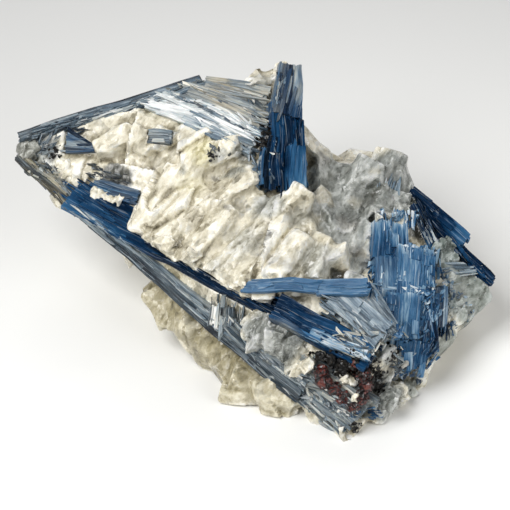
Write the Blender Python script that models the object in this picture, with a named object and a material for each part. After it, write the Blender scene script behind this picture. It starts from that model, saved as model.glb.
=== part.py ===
"""Blades of blue kyanite grown through a broken lump of milky quartz, with garnet and black mica.

The lump stands on a flat broken face at Z = 0. Its broad front leans back, so what lies on the front
is placed in the front's own frame: u runs to the right, v up the front, and d straight out of it.
Everything is modelled in millimetres and scaled to metres once, at the end.
"""

import math
import random

import bmesh
import bpy
from mathutils import Matrix, Vector

METRES_PER_MM = 0.001
FRONT_RISE = math.radians(40)  # how far the front's outward direction points above the horizon
FOOT_V = -36.4  # v of the lowest front corner, which touches the ground
ORIGIN_U = -0.1  # the origin is under the middle of the specimen's box
ORIGIN_DEPTH = 33.4
GAP = 0.3  # between two minerals that touch
BREAK_DEPTH = (0.66, 0.98)  # how far from a shard's middle a corner is struck off, of its half-length

MILKY_QUARTZ = ((0.78, 0.74, 0.65), 0.35)  # colour and roughness
DEEP_BLUE = ((0.03, 0.10, 0.30), 0.28)
MID_BLUE = ((0.10, 0.24, 0.48), 0.3)
PALE_BLUE = ((0.22, 0.34, 0.56), 0.3)
SILVER_BLUE = ((0.45, 0.52, 0.62), 0.25)
GARNET_RED = ((0.16, 0.03, 0.015), 0.4)
MICA_BLACK = ((0.02, 0.018, 0.015), 0.3)


def on_front(u, v, d):
    """A point of the front's frame, as a point of the specimen's."""
    climb = v - FOOT_V
    return Vector(
        (
            u - ORIGIN_U,
            climb * math.sin(FRONT_RISE) - d * math.cos(FRONT_RISE) - ORIGIN_DEPTH,
            climb * math.cos(FRONT_RISE) + d * math.sin(FRONT_RISE),
        )
    )


def standing(x, depth, z):
    """A point given by its place on the ground, from the front corner back, and its height."""
    return Vector((x - ORIGIN_U, depth - ORIGIN_DEPTH, z))


def along_front(u, v, d):
    """A direction of the front's frame."""
    return (on_front(u, v, d) - on_front(0, 0, 0)).normalized()


# Meshes -------------------------------------------------------------------------------------------


def new_object(name, mesh_builder):
    """An object made of what the bmesh holds, with its faces pointing out."""
    mesh = bpy.data.meshes.new(name)
    bmesh.ops.recalc_face_normals(mesh_builder, faces=mesh_builder.faces)
    mesh_builder.to_mesh(mesh)
    mesh_builder.free()
    made = bpy.data.objects.new(name, mesh)
    bpy.context.scene.collection.objects.link(made)
    return made


def hull(name, points):
    """The smallest convex block that holds the points."""
    builder = bmesh.new()
    for point in points:
        builder.verts.new(point)
    found = bmesh.ops.convex_hull(builder, input=builder.verts)
    inside = [v for v in found["geom_interior"] if isinstance(v, bmesh.types.BMVert)]
    bmesh.ops.delete(builder, geom=inside, context="VERTS")
    bmesh.ops.dissolve_limit(
        builder, angle_limit=math.radians(1), verts=builder.verts, edges=builder.edges
    )
    return new_object(name, builder)


def shard(rng, centre, size, long_way, cuts):
    """A broken lump: a box with its corners struck off by flat breaks. size is its three half-lengths."""
    frame = long_way.to_track_quat("X", "Z").to_matrix().to_4x4()
    frame @= Matrix.Rotation(rng.uniform(0, math.pi), 4, "X")
    builder = bmesh.new()
    bmesh.ops.create_cube(builder, size=2)
    for _ in range(cuts):
        way = Vector(rng.gauss(0, 1) for _ in range(3)).normalized()
        strike(builder, way * rng.uniform(*BREAK_DEPTH), way)
    bmesh.ops.transform(
        builder,
        matrix=Matrix.Translation(centre) @ frame @ Matrix.Diagonal((*size, 1)),
        verts=builder.verts,
    )
    return new_object("shard", builder)


def strike(builder, point, outward):
    """Breaks off what lies beyond a plane, and closes the break with a flat face."""
    whole = builder.verts[:] + builder.edges[:] + builder.faces[:]
    cut = bmesh.ops.bisect_plane(
        builder, geom=whole, plane_co=point, plane_no=outward, clear_outer=True
    )
    rim = [e for e in cut["geom_cut"] if isinstance(e, bmesh.types.BMEdge)]
    if len(rim) > 2:
        bmesh.ops.contextual_create(builder, geom=rim)


def combine(target, others, operation):
    """Joins the other meshes to the target, or cuts them from it, and deletes them."""
    for other in others:
        change = target.modifiers.new(operation.title(), "BOOLEAN")
        change.object = other
        change.operation = operation
        change.solver = "EXACT"
    graph = bpy.context.evaluated_depsgraph_get()
    result = bpy.data.meshes.new_from_object(target.evaluated_get(graph))
    target.modifiers.clear()
    target.data = result
    for other in others:
        bpy.data.objects.remove(other)
    return target


def drop_crumbs(target):
    """Keeps the largest piece of a mesh, so that no crumb is left where a pocket cut a corner free."""
    builder = bmesh.new()
    builder.from_mesh(target.data)
    unseen = set(builder.verts)
    islands = []
    while unseen:
        front = [unseen.pop()]
        island = list(front)
        while front:
            near = {e.other_vert(v) for v in front for e in v.link_edges} & unseen
            unseen -= near
            front = list(near)
            island += front
        islands.append(island)
    islands.sort(key=len)
    for island in islands[:-1]:
        bmesh.ops.delete(builder, geom=island, context="VERTS")
    builder.to_mesh(target.data)
    builder.free()


def finish(target, name, look):
    """Names a piece, gives it its material, and turns its millimetres into metres."""
    colour, roughness = look
    material = bpy.data.materials.new(name)
    material.use_nodes = True
    shader = material.node_tree.nodes["Principled BSDF"]
    shader.inputs["Base Color"].default_value = (*colour, 1)
    shader.inputs["Roughness"].default_value = roughness
    target.name = target.data.name = name
    target.data.materials.clear()
    target.data.materials.append(material)
    target.data.transform(Matrix.Scale(METRES_PER_MM, 4))


# Kyanite blades -----------------------------------------------------------------------------------

STRIP_LAP = 0.25  # how far neighbouring strips of a blade run into each other
STRIP_CHAMFER = 0.22  # bevel of a strip's front edges, of its thickness
STRIP_CHAMFER_LIMIT = 0.3  # and at most this much of its width
STRIP_SINK = 0.22  # how far a strip's face may lie behind the blade's, of the blade's thickness
STRIP_THICKNESS = (0.62, 0.78)  # of the blade's thickness
STRIP_SLANT = 0.7  # steepest slant of a strip's broken end
POCKET_PLAY = 0.1  # more room at the ends of a blade's pocket than the gap alone


def strip(start, end, across, out, low, high, thickness, slant):
    """One cleavage strip of a blade: a flat bar from low to high across it, with slanting broken ends."""
    along = (end - start).normalized()
    bevel = min(STRIP_CHAMFER * thickness, STRIP_CHAMFER_LIMIT * (high[0] - low[0]))
    builder = bmesh.new()
    rings = []
    for place, near, far, lean, inward in (
        (start, low[0], high[0], slant[0], 1),
        (end, low[1], high[1], slant[1], -1),
    ):
        outline = (
            (near + bevel, 0),
            (far - bevel, 0),
            (far, -bevel),
            (far, -thickness),
            (near, -thickness),
            (near, -bevel),
        )
        pivot = far if lean * inward < 0 else near  # so that the slant only shortens the strip
        corners = [place + across * a + out * o + along * lean * (a - pivot) for a, o in outline]
        rings.append([builder.verts.new(corner) for corner in corners])
    first, last = rings
    for here in range(len(first)):
        builder.faces.new((first[here - 1], first[here], last[here], last[here - 1]))
    builder.faces.new(first)
    builder.faces.new(last)
    return new_object("strip", builder)


class Blade:
    """A flat kyanite blade. One edge of its front face runs from start to end, and it reaches sideways
    from there by its width, which may differ at its two ends. Its thickness goes inwards."""

    def __init__(self, start, end, sideways, width, thickness, strips, ragged, toward=along_front(0, 0, 1)):
        self.start, self.end = start, end
        along = (end - start).normalized()
        self.across = (sideways - along * sideways.dot(along)).normalized()
        self.out = along.cross(self.across)
        if self.out.dot(toward) < 0:
            self.out.negate()
        self.along = along
        self.width, self.thickness = width, thickness
        self.strips, self.ragged = strips, ragged

    def solids(self, rng):
        """Its strips side by side, each a little thicker, thinner, longer or shorter than the next."""
        made = []
        for index in range(self.strips):
            low = [w * index / self.strips - STRIP_LAP for w in self.width]
            high = [w * (index + 1) / self.strips + STRIP_LAP for w in self.width]
            rise = self.out * rng.uniform(-STRIP_SINK, 0) * self.thickness
            start = self.start + rise + self.along * rng.uniform(0, self.ragged)
            end = self.end + rise - self.along * rng.uniform(0, self.ragged)
            thickness = self.thickness * rng.uniform(*STRIP_THICKNESS)
            slant = [rng.uniform(-STRIP_SLANT, STRIP_SLANT) for _ in range(2)]
            made.append(strip(start, end, self.across, self.out, low, high, thickness, slant))
        return made

    def pocket(self):
        """What the blade takes up in the rock around it, gap included."""
        room = GAP + POCKET_PLAY
        reach = self.along * room
        taper = abs(self.width[1] - self.width[0]) / (self.end - self.start).length
        side = GAP + STRIP_LAP + taper * (self.ragged + room)  # a strip that starts late is no narrower
        return strip(
            self.start + self.out * GAP - reach,
            self.end + self.out * GAP + reach,
            self.across,
            self.out,
            (-side, -side),
            tuple(w + side for w in self.width),
            self.thickness + 2 * GAP,
            (0, 0),
        )


def grow(name, blades, look, seed):
    """Blades that grew into each other, as one solid, with what makes their pockets and with their look."""
    rng = random.Random(seed)
    solids = [solid for blade in blades for solid in blade.solids(rng)]
    whole = combine(solids[0], solids[1:], "UNION")
    whole.name = name
    drop_crumbs(whole)
    return whole, lambda: [blade.pocket() for blade in blades], look


def front_blade(start, end, sideways, *sizes):
    """A blade given in the front's frame."""
    return Blade(on_front(*start), on_front(*end), along_front(*sideways), *sizes)


def grow_front_blades():
    """The long dark blade along the front's lower ridge, and the fan of shorter ones at its right end."""
    return grow(
        "front_blades",
        [
            front_blade((-39.4, 10.6, -15), (22.4, -22.9, 7.2), (0.35, 0.75, -0.55), (7.4, 6.4), 1.8, 5, 2),
            front_blade((1.8, -12.0, 3.2), (23.4, -21.4, 7.2), (0.4, 0.86, -0.3), (5.4, 4), 4, 3, 2.5),
            front_blade((9.4, -15.2, 4.8), (23.0, -21.0, 8), (0.4, 0.86, -0.3), (2.2, 2.4), 2.6, 2, 1.6),
            front_blade((13.4, -8.4, 2.6), (24.6, -19, 7.2), (0.62, 0.75, -0.22), (5, 6), 4, 3, 2.5),
            front_blade((18, -7.2, 1.6), (27.6, -18.6, 6), (0.8, 0.58, -0.25), (5.5, 4), 4, 3, 2.5),
        ],
        DEEP_BLUE,
        seed=3,
    )


def grow_lower_blades():
    """The grey-blue blades along the front's lower edge, from the left point to the foot."""
    return grow(
        "lower_blades",
        [
            front_blade((-49.4, 19.2, -23), (8.6, -30.4, 0.2), (0.55, 0.62, 0.56), (2.4, 5.2), 1.8, 3, 1),
            front_blade((-8, -13.4, -4), (18.4, -36.4, 1.8), (0.6, 0.72, 0.34), (3.5, 6), 2, 3, 1),
            front_blade((-1, -17.4, -1), (21, -33.6, 3), (0.55, 0.8, 0.24), (4, 5), 2.2, 3, 2.5),
            front_blade((7, -23.4, 1.6), (23.6, -32.6, 2.4), (0.5, 0.84, 0.1), (5, 4), 3, 3, 2.5),
        ],
        SILVER_BLUE,
        seed=5,
    )


def grow_crest_blades():
    """The dark edge along the top of the left half, and the silvery blades that run down from it."""
    return grow(
        "crest_blades",
        [
            front_blade((-49, 24.8, -23.8), (-11, 36.8, -21), (0.2, -0.93, 0.3), (1.8, 2.6), 3, 2, 0.8),
            front_blade((-22, 31.8, -19.6), (-8, 28.0, -16.4), (0.1, -0.95, 0.3), (1.8, 3.4), 2.4, 2, 1.5),
            front_blade((-14, 30.4, -17.8), (1.6, 22.6, -12.6), (-0.3, -0.9, 0.35), (3.6, 3.6), 2.4, 3, 1.6),
            front_blade((-19.4, 34.2, -20), (2.4, 24.8, -13.4), (-0.35, -0.9, 0.3), (1.6, 3), 2.6, 2, 1.6),
            front_blade((-15, 35.8, -20.4), (3.4, 28.8, -15), (-0.3, -0.9, 0.3), (2.6, 4.4), 2.6, 3, 1.6),
            front_blade((-11.4, 36.8, -20.4), (3.6, 34, -17.6), (-0.3, -0.9, 0.3), (2.6, 5), 2.6, 3, 1.6),
        ],
        SILVER_BLUE,
        seed=8,
    )


def grow_upright_blades():
    """The dark blades that stand up beyond the crest."""
    return grow(
        "upright_blades",
        [
            front_blade((4.0, 12.4, -8.2), (3.4, 31.6, -13), (0.93, 0, -0.37), (6.4, 6.8), 4.2, 4, 2),
            front_blade((3.2, 28.6, -12), (5.4, 39.6, -15), (0.97, 0.18, -0.25), (6.6, 4.4), 4, 3, 0.4),
            front_blade((7, 11.6, -6.8), (7.2, 23.4, -9.8), (0.93, 0, -0.37), (3.6, 3), 3, 2, 1.5),
            front_blade((1.2, 13, -8), (2.2, 25.6, -11), (0.94, 0, -0.34), (3, 2.6), 3, 2, 1.5),
        ],
        DEEP_BLUE,
        seed=13,
    )


def grow_pale_lath():
    """The slim pale lath that lies across the front."""
    return grow(
        "pale_lath",
        [
            front_blade((-3.2, -6.9, 2.4), (23.6, -7.6, 4.9), (0, 0.94, -0.34), (2.5, 3), 1.6, 2, 1.0),
            front_blade((9, -7.5, 3.3), (23.2, -8, 4.6), (0, 0.94, -0.34), (3.6, 3.8), 1.6, 2, 1.2),
        ],
        PALE_BLUE,
        seed=21,
    )


def grow_block_blades():
    """The mid-blue stack of short upright blades at the right."""
    return grow(
        "block_blades",
        [
            front_blade((23.8, -1.6, -5), (24.2, 8.8, -9), (0.95, 0, -0.3), (7.4, 7), 6, 4, 1.8),
            front_blade((28.4, -9.4, -2), (29.2, 4, -6), (0.97, 0, -0.22), (7.8, 7), 6, 4, 2),
            front_blade((24.6, -9.6, -1), (24.2, -0.4, -4), (0.95, 0, -0.3), (6.2, 6), 6, 3, 2),
            front_blade((25.4, -18.4, 1), (25.8, -6.8, 0), (0.93, 0, -0.36), (8.2, 8), 6, 4, 2),
            front_blade((31.2, -23.6, -2.5), (32, -6.8, -3), (0.93, 0, -0.36), (6.2, 5.6), 6, 3, 2),
            front_blade((27.6, -26.4, -2.6), (28.8, -16.4, 0), (0.93, 0, -0.36), (6.2, 7), 6, 3, 2),
            front_blade((34.6, -15.4, -5), (34.8, -5, -6), (0.9, 0, -0.43), (4.6, 4.2), 5, 2, 1.5),
        ],
        MID_BLUE,
        seed=34,
    )


def grow_right_edge_blades():
    """The dark blades that run down the right-hand edge."""
    return grow(
        "right_edge_blades",
        [
            front_blade((32.2, 14.2, -18.6), (44.2, 4.0, -15), (-0.55, -0.62, 0.55), (1.2, 3.4), 2.2, 2, 0.4),
            front_blade((34.6, 10.2, -17.2), (49.2, -4.8, -14.6), (-0.55, -0.62, 0.55), (2.2, 1.8), 2.4, 1, 0.6),
            front_blade((33, 11.8, -17.4), (38.2, 1.4, -13.4), (-0.6, -0.5, 0.6), (2.4, 2), 2, 2, 1),
        ],
        DEEP_BLUE,
        seed=55,
    )


def grow_tip_blade():
    """The dark wedge of a blade near the left point."""
    return grow(
        "tip_blade",
        [
            front_blade((-38.8, 21.0, -21), (-31.6, 21.0, -18.4), (0.1, 0.95, -0.3), (5.4, 0.9), 1.6, 2, 0.5),
        ],
        DEEP_BLUE,
        seed=89,
    )


def grow_inner_blade():
    """The lilac-blue blade that steps up from the long dark one."""
    return grow(
        "inner_blade",
        [
            front_blade((-34.6, 13.1, -18.2), (-23.4, 9.9, -13), (0.2, 0.9, -0.4), (3.1, 3.3), 1.5, 3, 0.8),
        ],
        MID_BLUE,
        seed=144,
    )


def grow_sunk_crystal():
    """The small grey crystal set in the cream quartz."""
    return grow(
        "sunk_crystal",
        [
            front_blade((-22.2, 22.6, -15.8), (-16.8, 22.4, -13.6), (0, 0.95, -0.3), (3.0, 2.8), 1.6, 2, 0.3),
        ],
        SILVER_BLUE,
        seed=233,
    )


def grow_cross_splinters():
    """Short upright splinters between the long dark blade and the lower ones."""
    return grow(
        "cross_splinters",
        [
            front_blade((-9.4, -15.4, -2.6), (-9, -9.6, -1.6), (0.97, 0, 0.24), (5.4, 4.8), 1.4, 5, 1.2),
        ],
        SILVER_BLUE,
        seed=377,
    )


def grow_back_blades():
    """Blades on the far side, crossing each other."""
    up = Vector((0.1, 0.1, 1))
    back = Vector((0, 1, 0))
    return grow(
        "back_blades",
        [
            Blade(standing(-30, 62, 18), standing(8, 64.5, 24), up, (7, 6), 3.4, 3, 3, back),
            Blade(standing(-18, 64, 20), standing(25, 61.5, 9), up, (5, 6), 3.4, 2, 3, back),
            Blade(standing(2, 64, 20), standing(33, 57, 4), up, (5, 4), 3.4, 2, 3, back),
        ],
        MID_BLUE,
        seed=610,
    )


# Garnet and mica ----------------------------------------------------------------------------------

GRAIN_CORNERS = 12
GRAIN_ROUGHNESS = (0.9, 1.1)  # how far a corner is pushed in or out, of the grain's radius
GRAIN_POCKET = 1.4  # radius of a grain's pocket, of the grain's own
GOLDEN_TURN = math.pi * (3 - math.sqrt(5))


def ball_directions(count):
    """Directions spread evenly over a ball, along a spiral from pole to pole."""
    for index in range(count):
        height = 1 - (2 * index + 1) / count
        ring = math.sqrt(1 - height * height)
        turn = index * GOLDEN_TURN
        yield Vector((ring * math.cos(turn), ring * math.sin(turn), height))


def grain(rng, centre, radius):
    """A blunt grain: a ball of few corners, each pushed in or out a little."""
    ways = ball_directions(GRAIN_CORNERS)
    return hull("grain", [centre + way * radius * rng.uniform(*GRAIN_ROUGHNESS) for way in ways])


def grain_pocket(centre, radius):
    """A ball of few corners, large enough to hold a grain and the gap around it."""
    reach = radius * GRAIN_POCKET + GAP
    return hull("pocket", [centre + way * reach for way in ball_directions(GRAIN_CORNERS)])


def grow_grains(name, places, look, seed):
    """A crust of grains that touch, as one solid, with what makes their pockets and with their look."""
    rng = random.Random(seed)
    balls = [(on_front(u, v, d), radius) for u, v, d, radius in places]
    grains = [grain(rng, *ball) for ball in balls]
    whole = combine(grains[0], grains[1:], "UNION")
    whole.name = name
    drop_crumbs(whole)
    return whole, lambda: [grain_pocket(*ball) for ball in balls], look


# Each grain's middle on the front, and its radius.
GARNET_PLACES = [
    (13.3, -23.2, 3.8, 1.8),
    (14.0, -25.4, 4.0, 1.9),
    (15.8, -26.9, 4.2, 1.8),
    (17.5, -28.5, 4.2, 1.8),
    (19.5, -30.0, 4.1, 1.8),
    (21.4, -28.4, 4.2, 1.8),
    (22.2, -26.2, 4.2, 1.7),
    (21.6, -24.1, 4.3, 1.7),
]
MICA_PLACES = [
    (12.8, -20.4, 3.9, 1.4),
    (15.0, -21.2, 4.1, 1.6),
    (17.4, -22.0, 4.3, 1.6),
    (19.8, -21.7, 4.4, 1.6),
    (22.4, -21.0, 4.4, 1.7),
    (24.8, -22.4, 4.1, 1.7),
    (25.2, -25.0, 3.8, 1.7),
]


# Quartz -------------------------------------------------------------------------------------------

SHARD_CUTS = 7
SHARD_STRAY = 0.6  # how far a shard lies from its row
SHARD_SPREAD = (0.85, 1.15)  # of its row's half-lengths
SHARD_TURN = 0.3  # how far a shard's length may turn out of its row's plane
CREST_STRAY = 0.4  # how far the middle of a ridge's crest strays sideways, of its half-width
CREST_RISE = 0.4
RIDGE_TAPER = (0.04, 0.14)  # how far a ridge's flanks run on past its crest, of its length
RIDGE_SPREAD = (0.75, 1.25)  # of its half-width
RIDGE_FLANK = (0.45, 0.8)  # how deep its flanks start, of its depth
RIDGE_ROOT = 1.6  # how deep they end, of its depth
ROOT_SPREAD = 0.9  # half-width at the root, of that of the flank

# The lump is three large blocks, with ridges and broken shards grown out of them.
POINT_BLOCK = [
    on_front(-48.2, 21.4, -24.4),
    on_front(-36, 26.6, -23.2),
    on_front(-16, 32.6, -21),
    on_front(-20, 18, -15.6),
    on_front(-30, 17.4, -20.6),
    on_front(-39, 12.4, -19.6),
    on_front(-30, 4.6, -15.6),
    on_front(-22, -1.6, -11.6),
    standing(-36, 60, 27),
    standing(-16, 62, 24),
    standing(-26, 50, 8),
]
MIDDLE_BLOCK = [
    on_front(-22.6, 4.6, -10),
    on_front(-21, 11, -12.6),
    on_front(-15, 18, -14.4),
    on_front(-16, 32.8, -21.6),
    on_front(3, 33.2, -20),
    on_front(8.4, 20, -15),
    on_front(10, 9, -9.6),
    on_front(16, -9, 0.4),
    on_front(9, -13.6, 1),
    on_front(-6, -6, -3),
    on_front(-19.6, -4.4, -13.4),
    on_front(0, -22.6, -5.6),
    standing(6, 61, 26),
    standing(-21, 47, 0),
    standing(-19, 57, 0),
    standing(6, 58, 0),
    standing(22, 54, 0),
    standing(18, 8, 0),
    standing(3, 15, 0),
    standing(-9, 27, 0),
]
RIGHT_BLOCK = [
    on_front(9, 18, -17),
    on_front(20, 16, -20),
    on_front(28, 18, -21),
    on_front(31.4, 11, -19.4),
    on_front(24, 1, -12),
    on_front(24, -9, -5),
    on_front(36, -3, -13),
    on_front(47.8, -8.6, -16),
    on_front(41, -13, -15.4),
    on_front(36, -18.4, -12.6),
    on_front(29, -28, -5.6),
    on_front(18, -33.6, -1.4),
    on_front(8, -28.6, -2.6),
    on_front(9, -19, 0.4),
    on_front(24.6, -20.4, 4.0),
    on_front(17, -9, 0.4),
    standing(11, 4, 0),
    standing(17, 2.4, 0),
    standing(28, 12, 0),
    standing(35, 26, 0),
    standing(34, 50, 0),
    standing(12, 57, 0),
    standing(41, 48, 12),
    standing(20, 61, 22),
    standing(44, 38, 15),
]

# Each ridge of the front: the two ends of its crest, its half-width, and how deep it is rooted.
RIDGES = [
    ((-22.4, 5.4, -7.2), (-15.4, 16.8, -11.4), 3.0, 4),
    ((-17.2, 2.6, -4.6), (-8.6, 13, -9.4), 3.2, 4),
    ((-12, -0.2, -2.8), (-4.2, 9.0, -6.8), 2.8, 4),
    ((-7.2, -2.8, -1.2), (1.6, 5.4, -4.4), 3, 4),
    ((-1.4, -4.2, 0.4), (6.6, 8.6, -5.6), 2.8, 4),
    ((5.2, -3.6, 2.0), (10.6, 3.4, -2.4), 3.0, 4),
    ((11.4, -4.6, 2.6), (15.2, 3.8, -3.2), 2.8, 4),
    ((3.2, 6.2, -5), (8.6, 13.6, -8.6), 2.8, 4),
    ((-15.4, 14.6, -10.4), (-5, 20.4, -12.4), 3.4, 5),
    ((-9.4, 9.6, -8), (0.6, 15.4, -9.4), 3.4, 5),
    ((-22, 20.4, -15.2), (-10, 25.2, -16), 4, 5),
    ((-35, 22.4, -21), (-20.4, 27.4, -19), 4.4, 5),
    ((-45, 21.8, -23.4), (-34.6, 20.0, -20.4), 3.2, 4),
    ((-37.6, 16.8, -22.4), (-22, 15.6, -15.4), 2.6, 4),
    ((16.4, 4.6, -8), (11.8, 11.6, -10.6), 3, 4.4),
    ((19.8, -3.4, -4.6), (21.4, 7.6, -11), 3, 4.4),
    ((13.6, 9.6, -10.8), (12.8, 19.2, -16), 3.4, 5),
    ((17.6, 9.2, -12), (20.2, 18.4, -18), 4, 5),
    ((24.6, 10, -14.8), (28.4, 21.2, -19.6), 4, 5),
    ((31, 12.4, -17.8), (27.4, 2.8, -12.8), 3, 4.4),
    ((32.6, 5.4, -15.4), (40.6, -4.4, -13.6), 2.6, 4),
    ((36.4, -8.4, -12), (47, -6.4, -15.4), 3.8, 4.4),
    ((35.6, -16, -10.6), (41.2, -10.6, -13.2), 3, 4.4),
    ((25.4, -29, -2.8), (31.6, -25.4, -6.4), 3, 4.4),
    ((-4.6, -12.6, -1.6), (-1, -17, -1.6), 2.2, 3),
    ((0.4, -14.8, 0), (6.4, -20.2, 0.4), 2.4, 3),
    ((13.6, -22.6, 3.6), (21.6, -27.4, 3.8), 3.2, 4),
    ((-2.6, -6.4, 1.3), (11, -7.2, 2.4), 2.2, 5),
    ((-35, 11.6, -18.6), (-26, 9.6, -15.2), 1.3, 3),
]
# The two that close the saddle's ends, grown last.
SADDLE_RIDGES = [
    ((28, 19.8, -19.6), (30.4, 13.6, -19.2), 1.6, 5),
    ((9.2, 23.6, -14.6), (14.4, 18.6, -16), 2.8, 7),
]
# Each row of shards: where its first and last are centred, how many, their half-lengths, and their
# lean in degrees.
FRONT_ROWS = [
    ((-17.8, -8.2, -18.4), (-4.6, -20.8, -10.4), 5, (4.8, 3.6, 4.6), -50),
    ((-1.6, -25.4, -8.6), (7.6, -27.0, -4.6), 3, (4.2, 3.6, 4.4), -20),
    ((-26, 0.2, -20.2), (-26, 0.2, -20.2), 1, (3, 2.4, 3), -48),
    ((-39.2, 11.6, -23), (-39.2, 11.6, -23), 1, (2, 1.5, 2), -45),
    ((0.8, 34.4, -22.4), (4.4, 33.6, -23.6), 2, (3.8, 3.2, 3.8), 20),
    ((-12, 20.4, -14.6), (2.6, 21.4, -14.4), 3, (4.4, 3, 3.4), 25),
    ((-28, 22.6, -20.2), (-20, 21.6, -18), 2, (4.6, 3, 3), 15),
    ((6.4, 17.4, -13.4), (8.6, 9.4, -9), 2, (3.8, 3, 3.4), 60),
    ((22.8, 15.4, -17.6), (24, 5.6, -12.6), 2, (3.6, 3.2, 3.6), 60),
    ((16.4, -0.6, -3.8), (20.2, -5.6, -1.2), 2, (3.2, 2.8, 3), 0),
    ((28.6, -24, -6.4), (36.2, -17, -12.2), 3, (3.6, 3, 4), 45),
    ((19, -33, -2.6), (25, -31, -4.8), 2, (4, 2.6, 4), 25),
]
STANDING_ROWS = [
    ((-18, 60, 8), (24, 58, 7), 5, (7, 5, 5), 10),
    ((-26, 60, 20), (20, 59, 16), 5, (7.6, 5, 5.4), -15),
    ((-20, 60, 32), (0, 60, 33), 3, (7, 4.4, 5), 10),
    ((-27, 55, 17), (-16.6, 43, 5), 3, (4.6, 3.8, 3.8), 50),
    ((35, 50, 9.6), (40, 35, 10), 3, (5.6, 4.2, 5), 60),
    ((33, 48, 3), (30, 18, 3), 4, (5.6, 4.4, 4.4), 75),
    ((17, 55.4, 19), (31, 50, 14), 3, (5, 4, 4), -30),
]
def ridge(rng, start, end, half_width, depth):
    """A crest between two points with its two flanks, rooted in the block behind it."""
    along = (end - start).normalized()
    side = along.cross(along_front(0, 0, 1)).normalized()
    back = along.cross(side).normalized()
    length = (end - start).length
    stray = side * rng.uniform(-CREST_STRAY, CREST_STRAY) * half_width
    points = [start, end, (start + end) / 2 + stray - back * CREST_RISE]
    for place, outward in ((start, -1), (end, 1)):
        for flank in (-1, 1):
            foot = place + along * outward * rng.uniform(*RIDGE_TAPER) * length
            spread = side * flank * half_width * rng.uniform(*RIDGE_SPREAD)
            points.append(foot + spread + back * depth * rng.uniform(*RIDGE_FLANK))
            points.append(foot + spread * ROOT_SPREAD + back * depth * RIDGE_ROOT)
    return hull("ridge", points)


def row_of_shards(rng, place, first, last, count, half_lengths, lean):
    """Shards spaced between two points, each with its own size, turn and breaks."""
    lean = math.radians(lean)
    for index in range(count):
        share = index / max(count - 1, 1)
        centre = place(*(a + (b - a) * share for a, b in zip(first, last)))
        centre += Vector(rng.uniform(-SHARD_STRAY, SHARD_STRAY) for _ in range(3))
        size = tuple(half * rng.uniform(*SHARD_SPREAD) for half in half_lengths)
        turn = rng.uniform(-SHARD_TURN, SHARD_TURN)
        long_way = place(math.cos(lean), math.sin(lean), turn) - place(0, 0, 0)
        yield shard(rng, centre, size, long_way.normalized(), SHARD_CUTS)


def standing_upright(x, height, depth):
    """As standing, with the height second, so that a lean turns in the upright plane."""
    return standing(x, depth, height)


def block_below_ground():
    """What the flat base is cut off with."""
    builder = bmesh.new()
    bmesh.ops.create_cube(builder, size=200, matrix=Matrix.Translation((0, 0, -100)))
    return new_object("below_ground", builder)


def grow_quartz(crystal_pockets):
    """The quartz lump: blocks, ridges and shards in one, cut flat below, with a pocket for each crystal."""
    rng = random.Random(4)
    grown = [hull("block", MIDDLE_BLOCK), hull("block", RIGHT_BLOCK)]
    for start, end, half_width, depth in RIDGES:
        grown.append(ridge(rng, on_front(*start), on_front(*end), half_width, depth))
    for row in FRONT_ROWS:
        grown += row_of_shards(rng, on_front, *row)
    for (x, depth, z), (last_x, last_depth, last_z), *rest in STANDING_ROWS:
        grown += row_of_shards(rng, standing_upright, (x, z, depth), (last_x, last_z, last_depth), *rest)
    for start, end, half_width, depth in SADDLE_RIDGES:
        grown.append(ridge(rng, on_front(*start), on_front(*end), half_width, depth))
    lump = combine(hull("quartz_matrix", POINT_BLOCK), grown, "UNION")
    combine(lump, [block_below_ground(), *crystal_pockets], "DIFFERENCE")
    drop_crumbs(lump)
    return lump


def meets(one, other):
    """Whether the boxes of two objects meet."""
    places = [[v.co for v in thing.data.vertices] for thing in (one, other)]
    for axis in range(3):
        ranges = [[place[axis] for place in of_one] for of_one in places]
        if max(min(r) for r in ranges) > min(max(r) for r in ranges):
            return False
    return True


def part_from_neighbours(whole, earlier):
    """Cuts a crystal back where it would run into crystals that were already there."""
    pockets = [pocket for make_pockets in earlier for pocket in make_pockets()]
    near = [pocket for pocket in pockets if meets(whole, pocket)]
    for pocket in pockets:
        if pocket not in near:
            bpy.data.objects.remove(pocket)
    if near:
        combine(whole, near, "DIFFERENCE")
        drop_crumbs(whole)


def build():
    """Grows the crystals in order, then the quartz around them."""
    for old in list(bpy.data.objects):
        bpy.data.objects.remove(old)
    crystals = [
        grow_grains("garnet_grains", GARNET_PLACES, GARNET_RED, seed=7),
        grow_grains("mica_grains", MICA_PLACES, MICA_BLACK, seed=9),
        grow_pale_lath(),
        grow_front_blades(),
        grow_block_blades(),
        grow_right_edge_blades(),
        grow_upright_blades(),
        grow_crest_blades(),
        grow_tip_blade(),
        grow_inner_blade(),
        grow_lower_blades(),
        grow_sunk_crystal(),
        grow_cross_splinters(),
        grow_back_blades(),
    ]
    for index, (whole, _, _) in enumerate(crystals):
        part_from_neighbours(whole, [make_pockets for _, make_pockets, _ in crystals[:index]])
    pockets = [pocket for _, make_pockets, _ in crystals for pocket in make_pockets()]
    finish(grow_quartz(pockets), "quartz_matrix", MILKY_QUARTZ)
    for whole, _, look in crystals:
        finish(whole, whole.name, look)


build()
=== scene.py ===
import math
import random
from itertools import combinations

import bpy
import numpy as np
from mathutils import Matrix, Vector, noise
from mathutils.bvhtree import BVHTree


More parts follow.
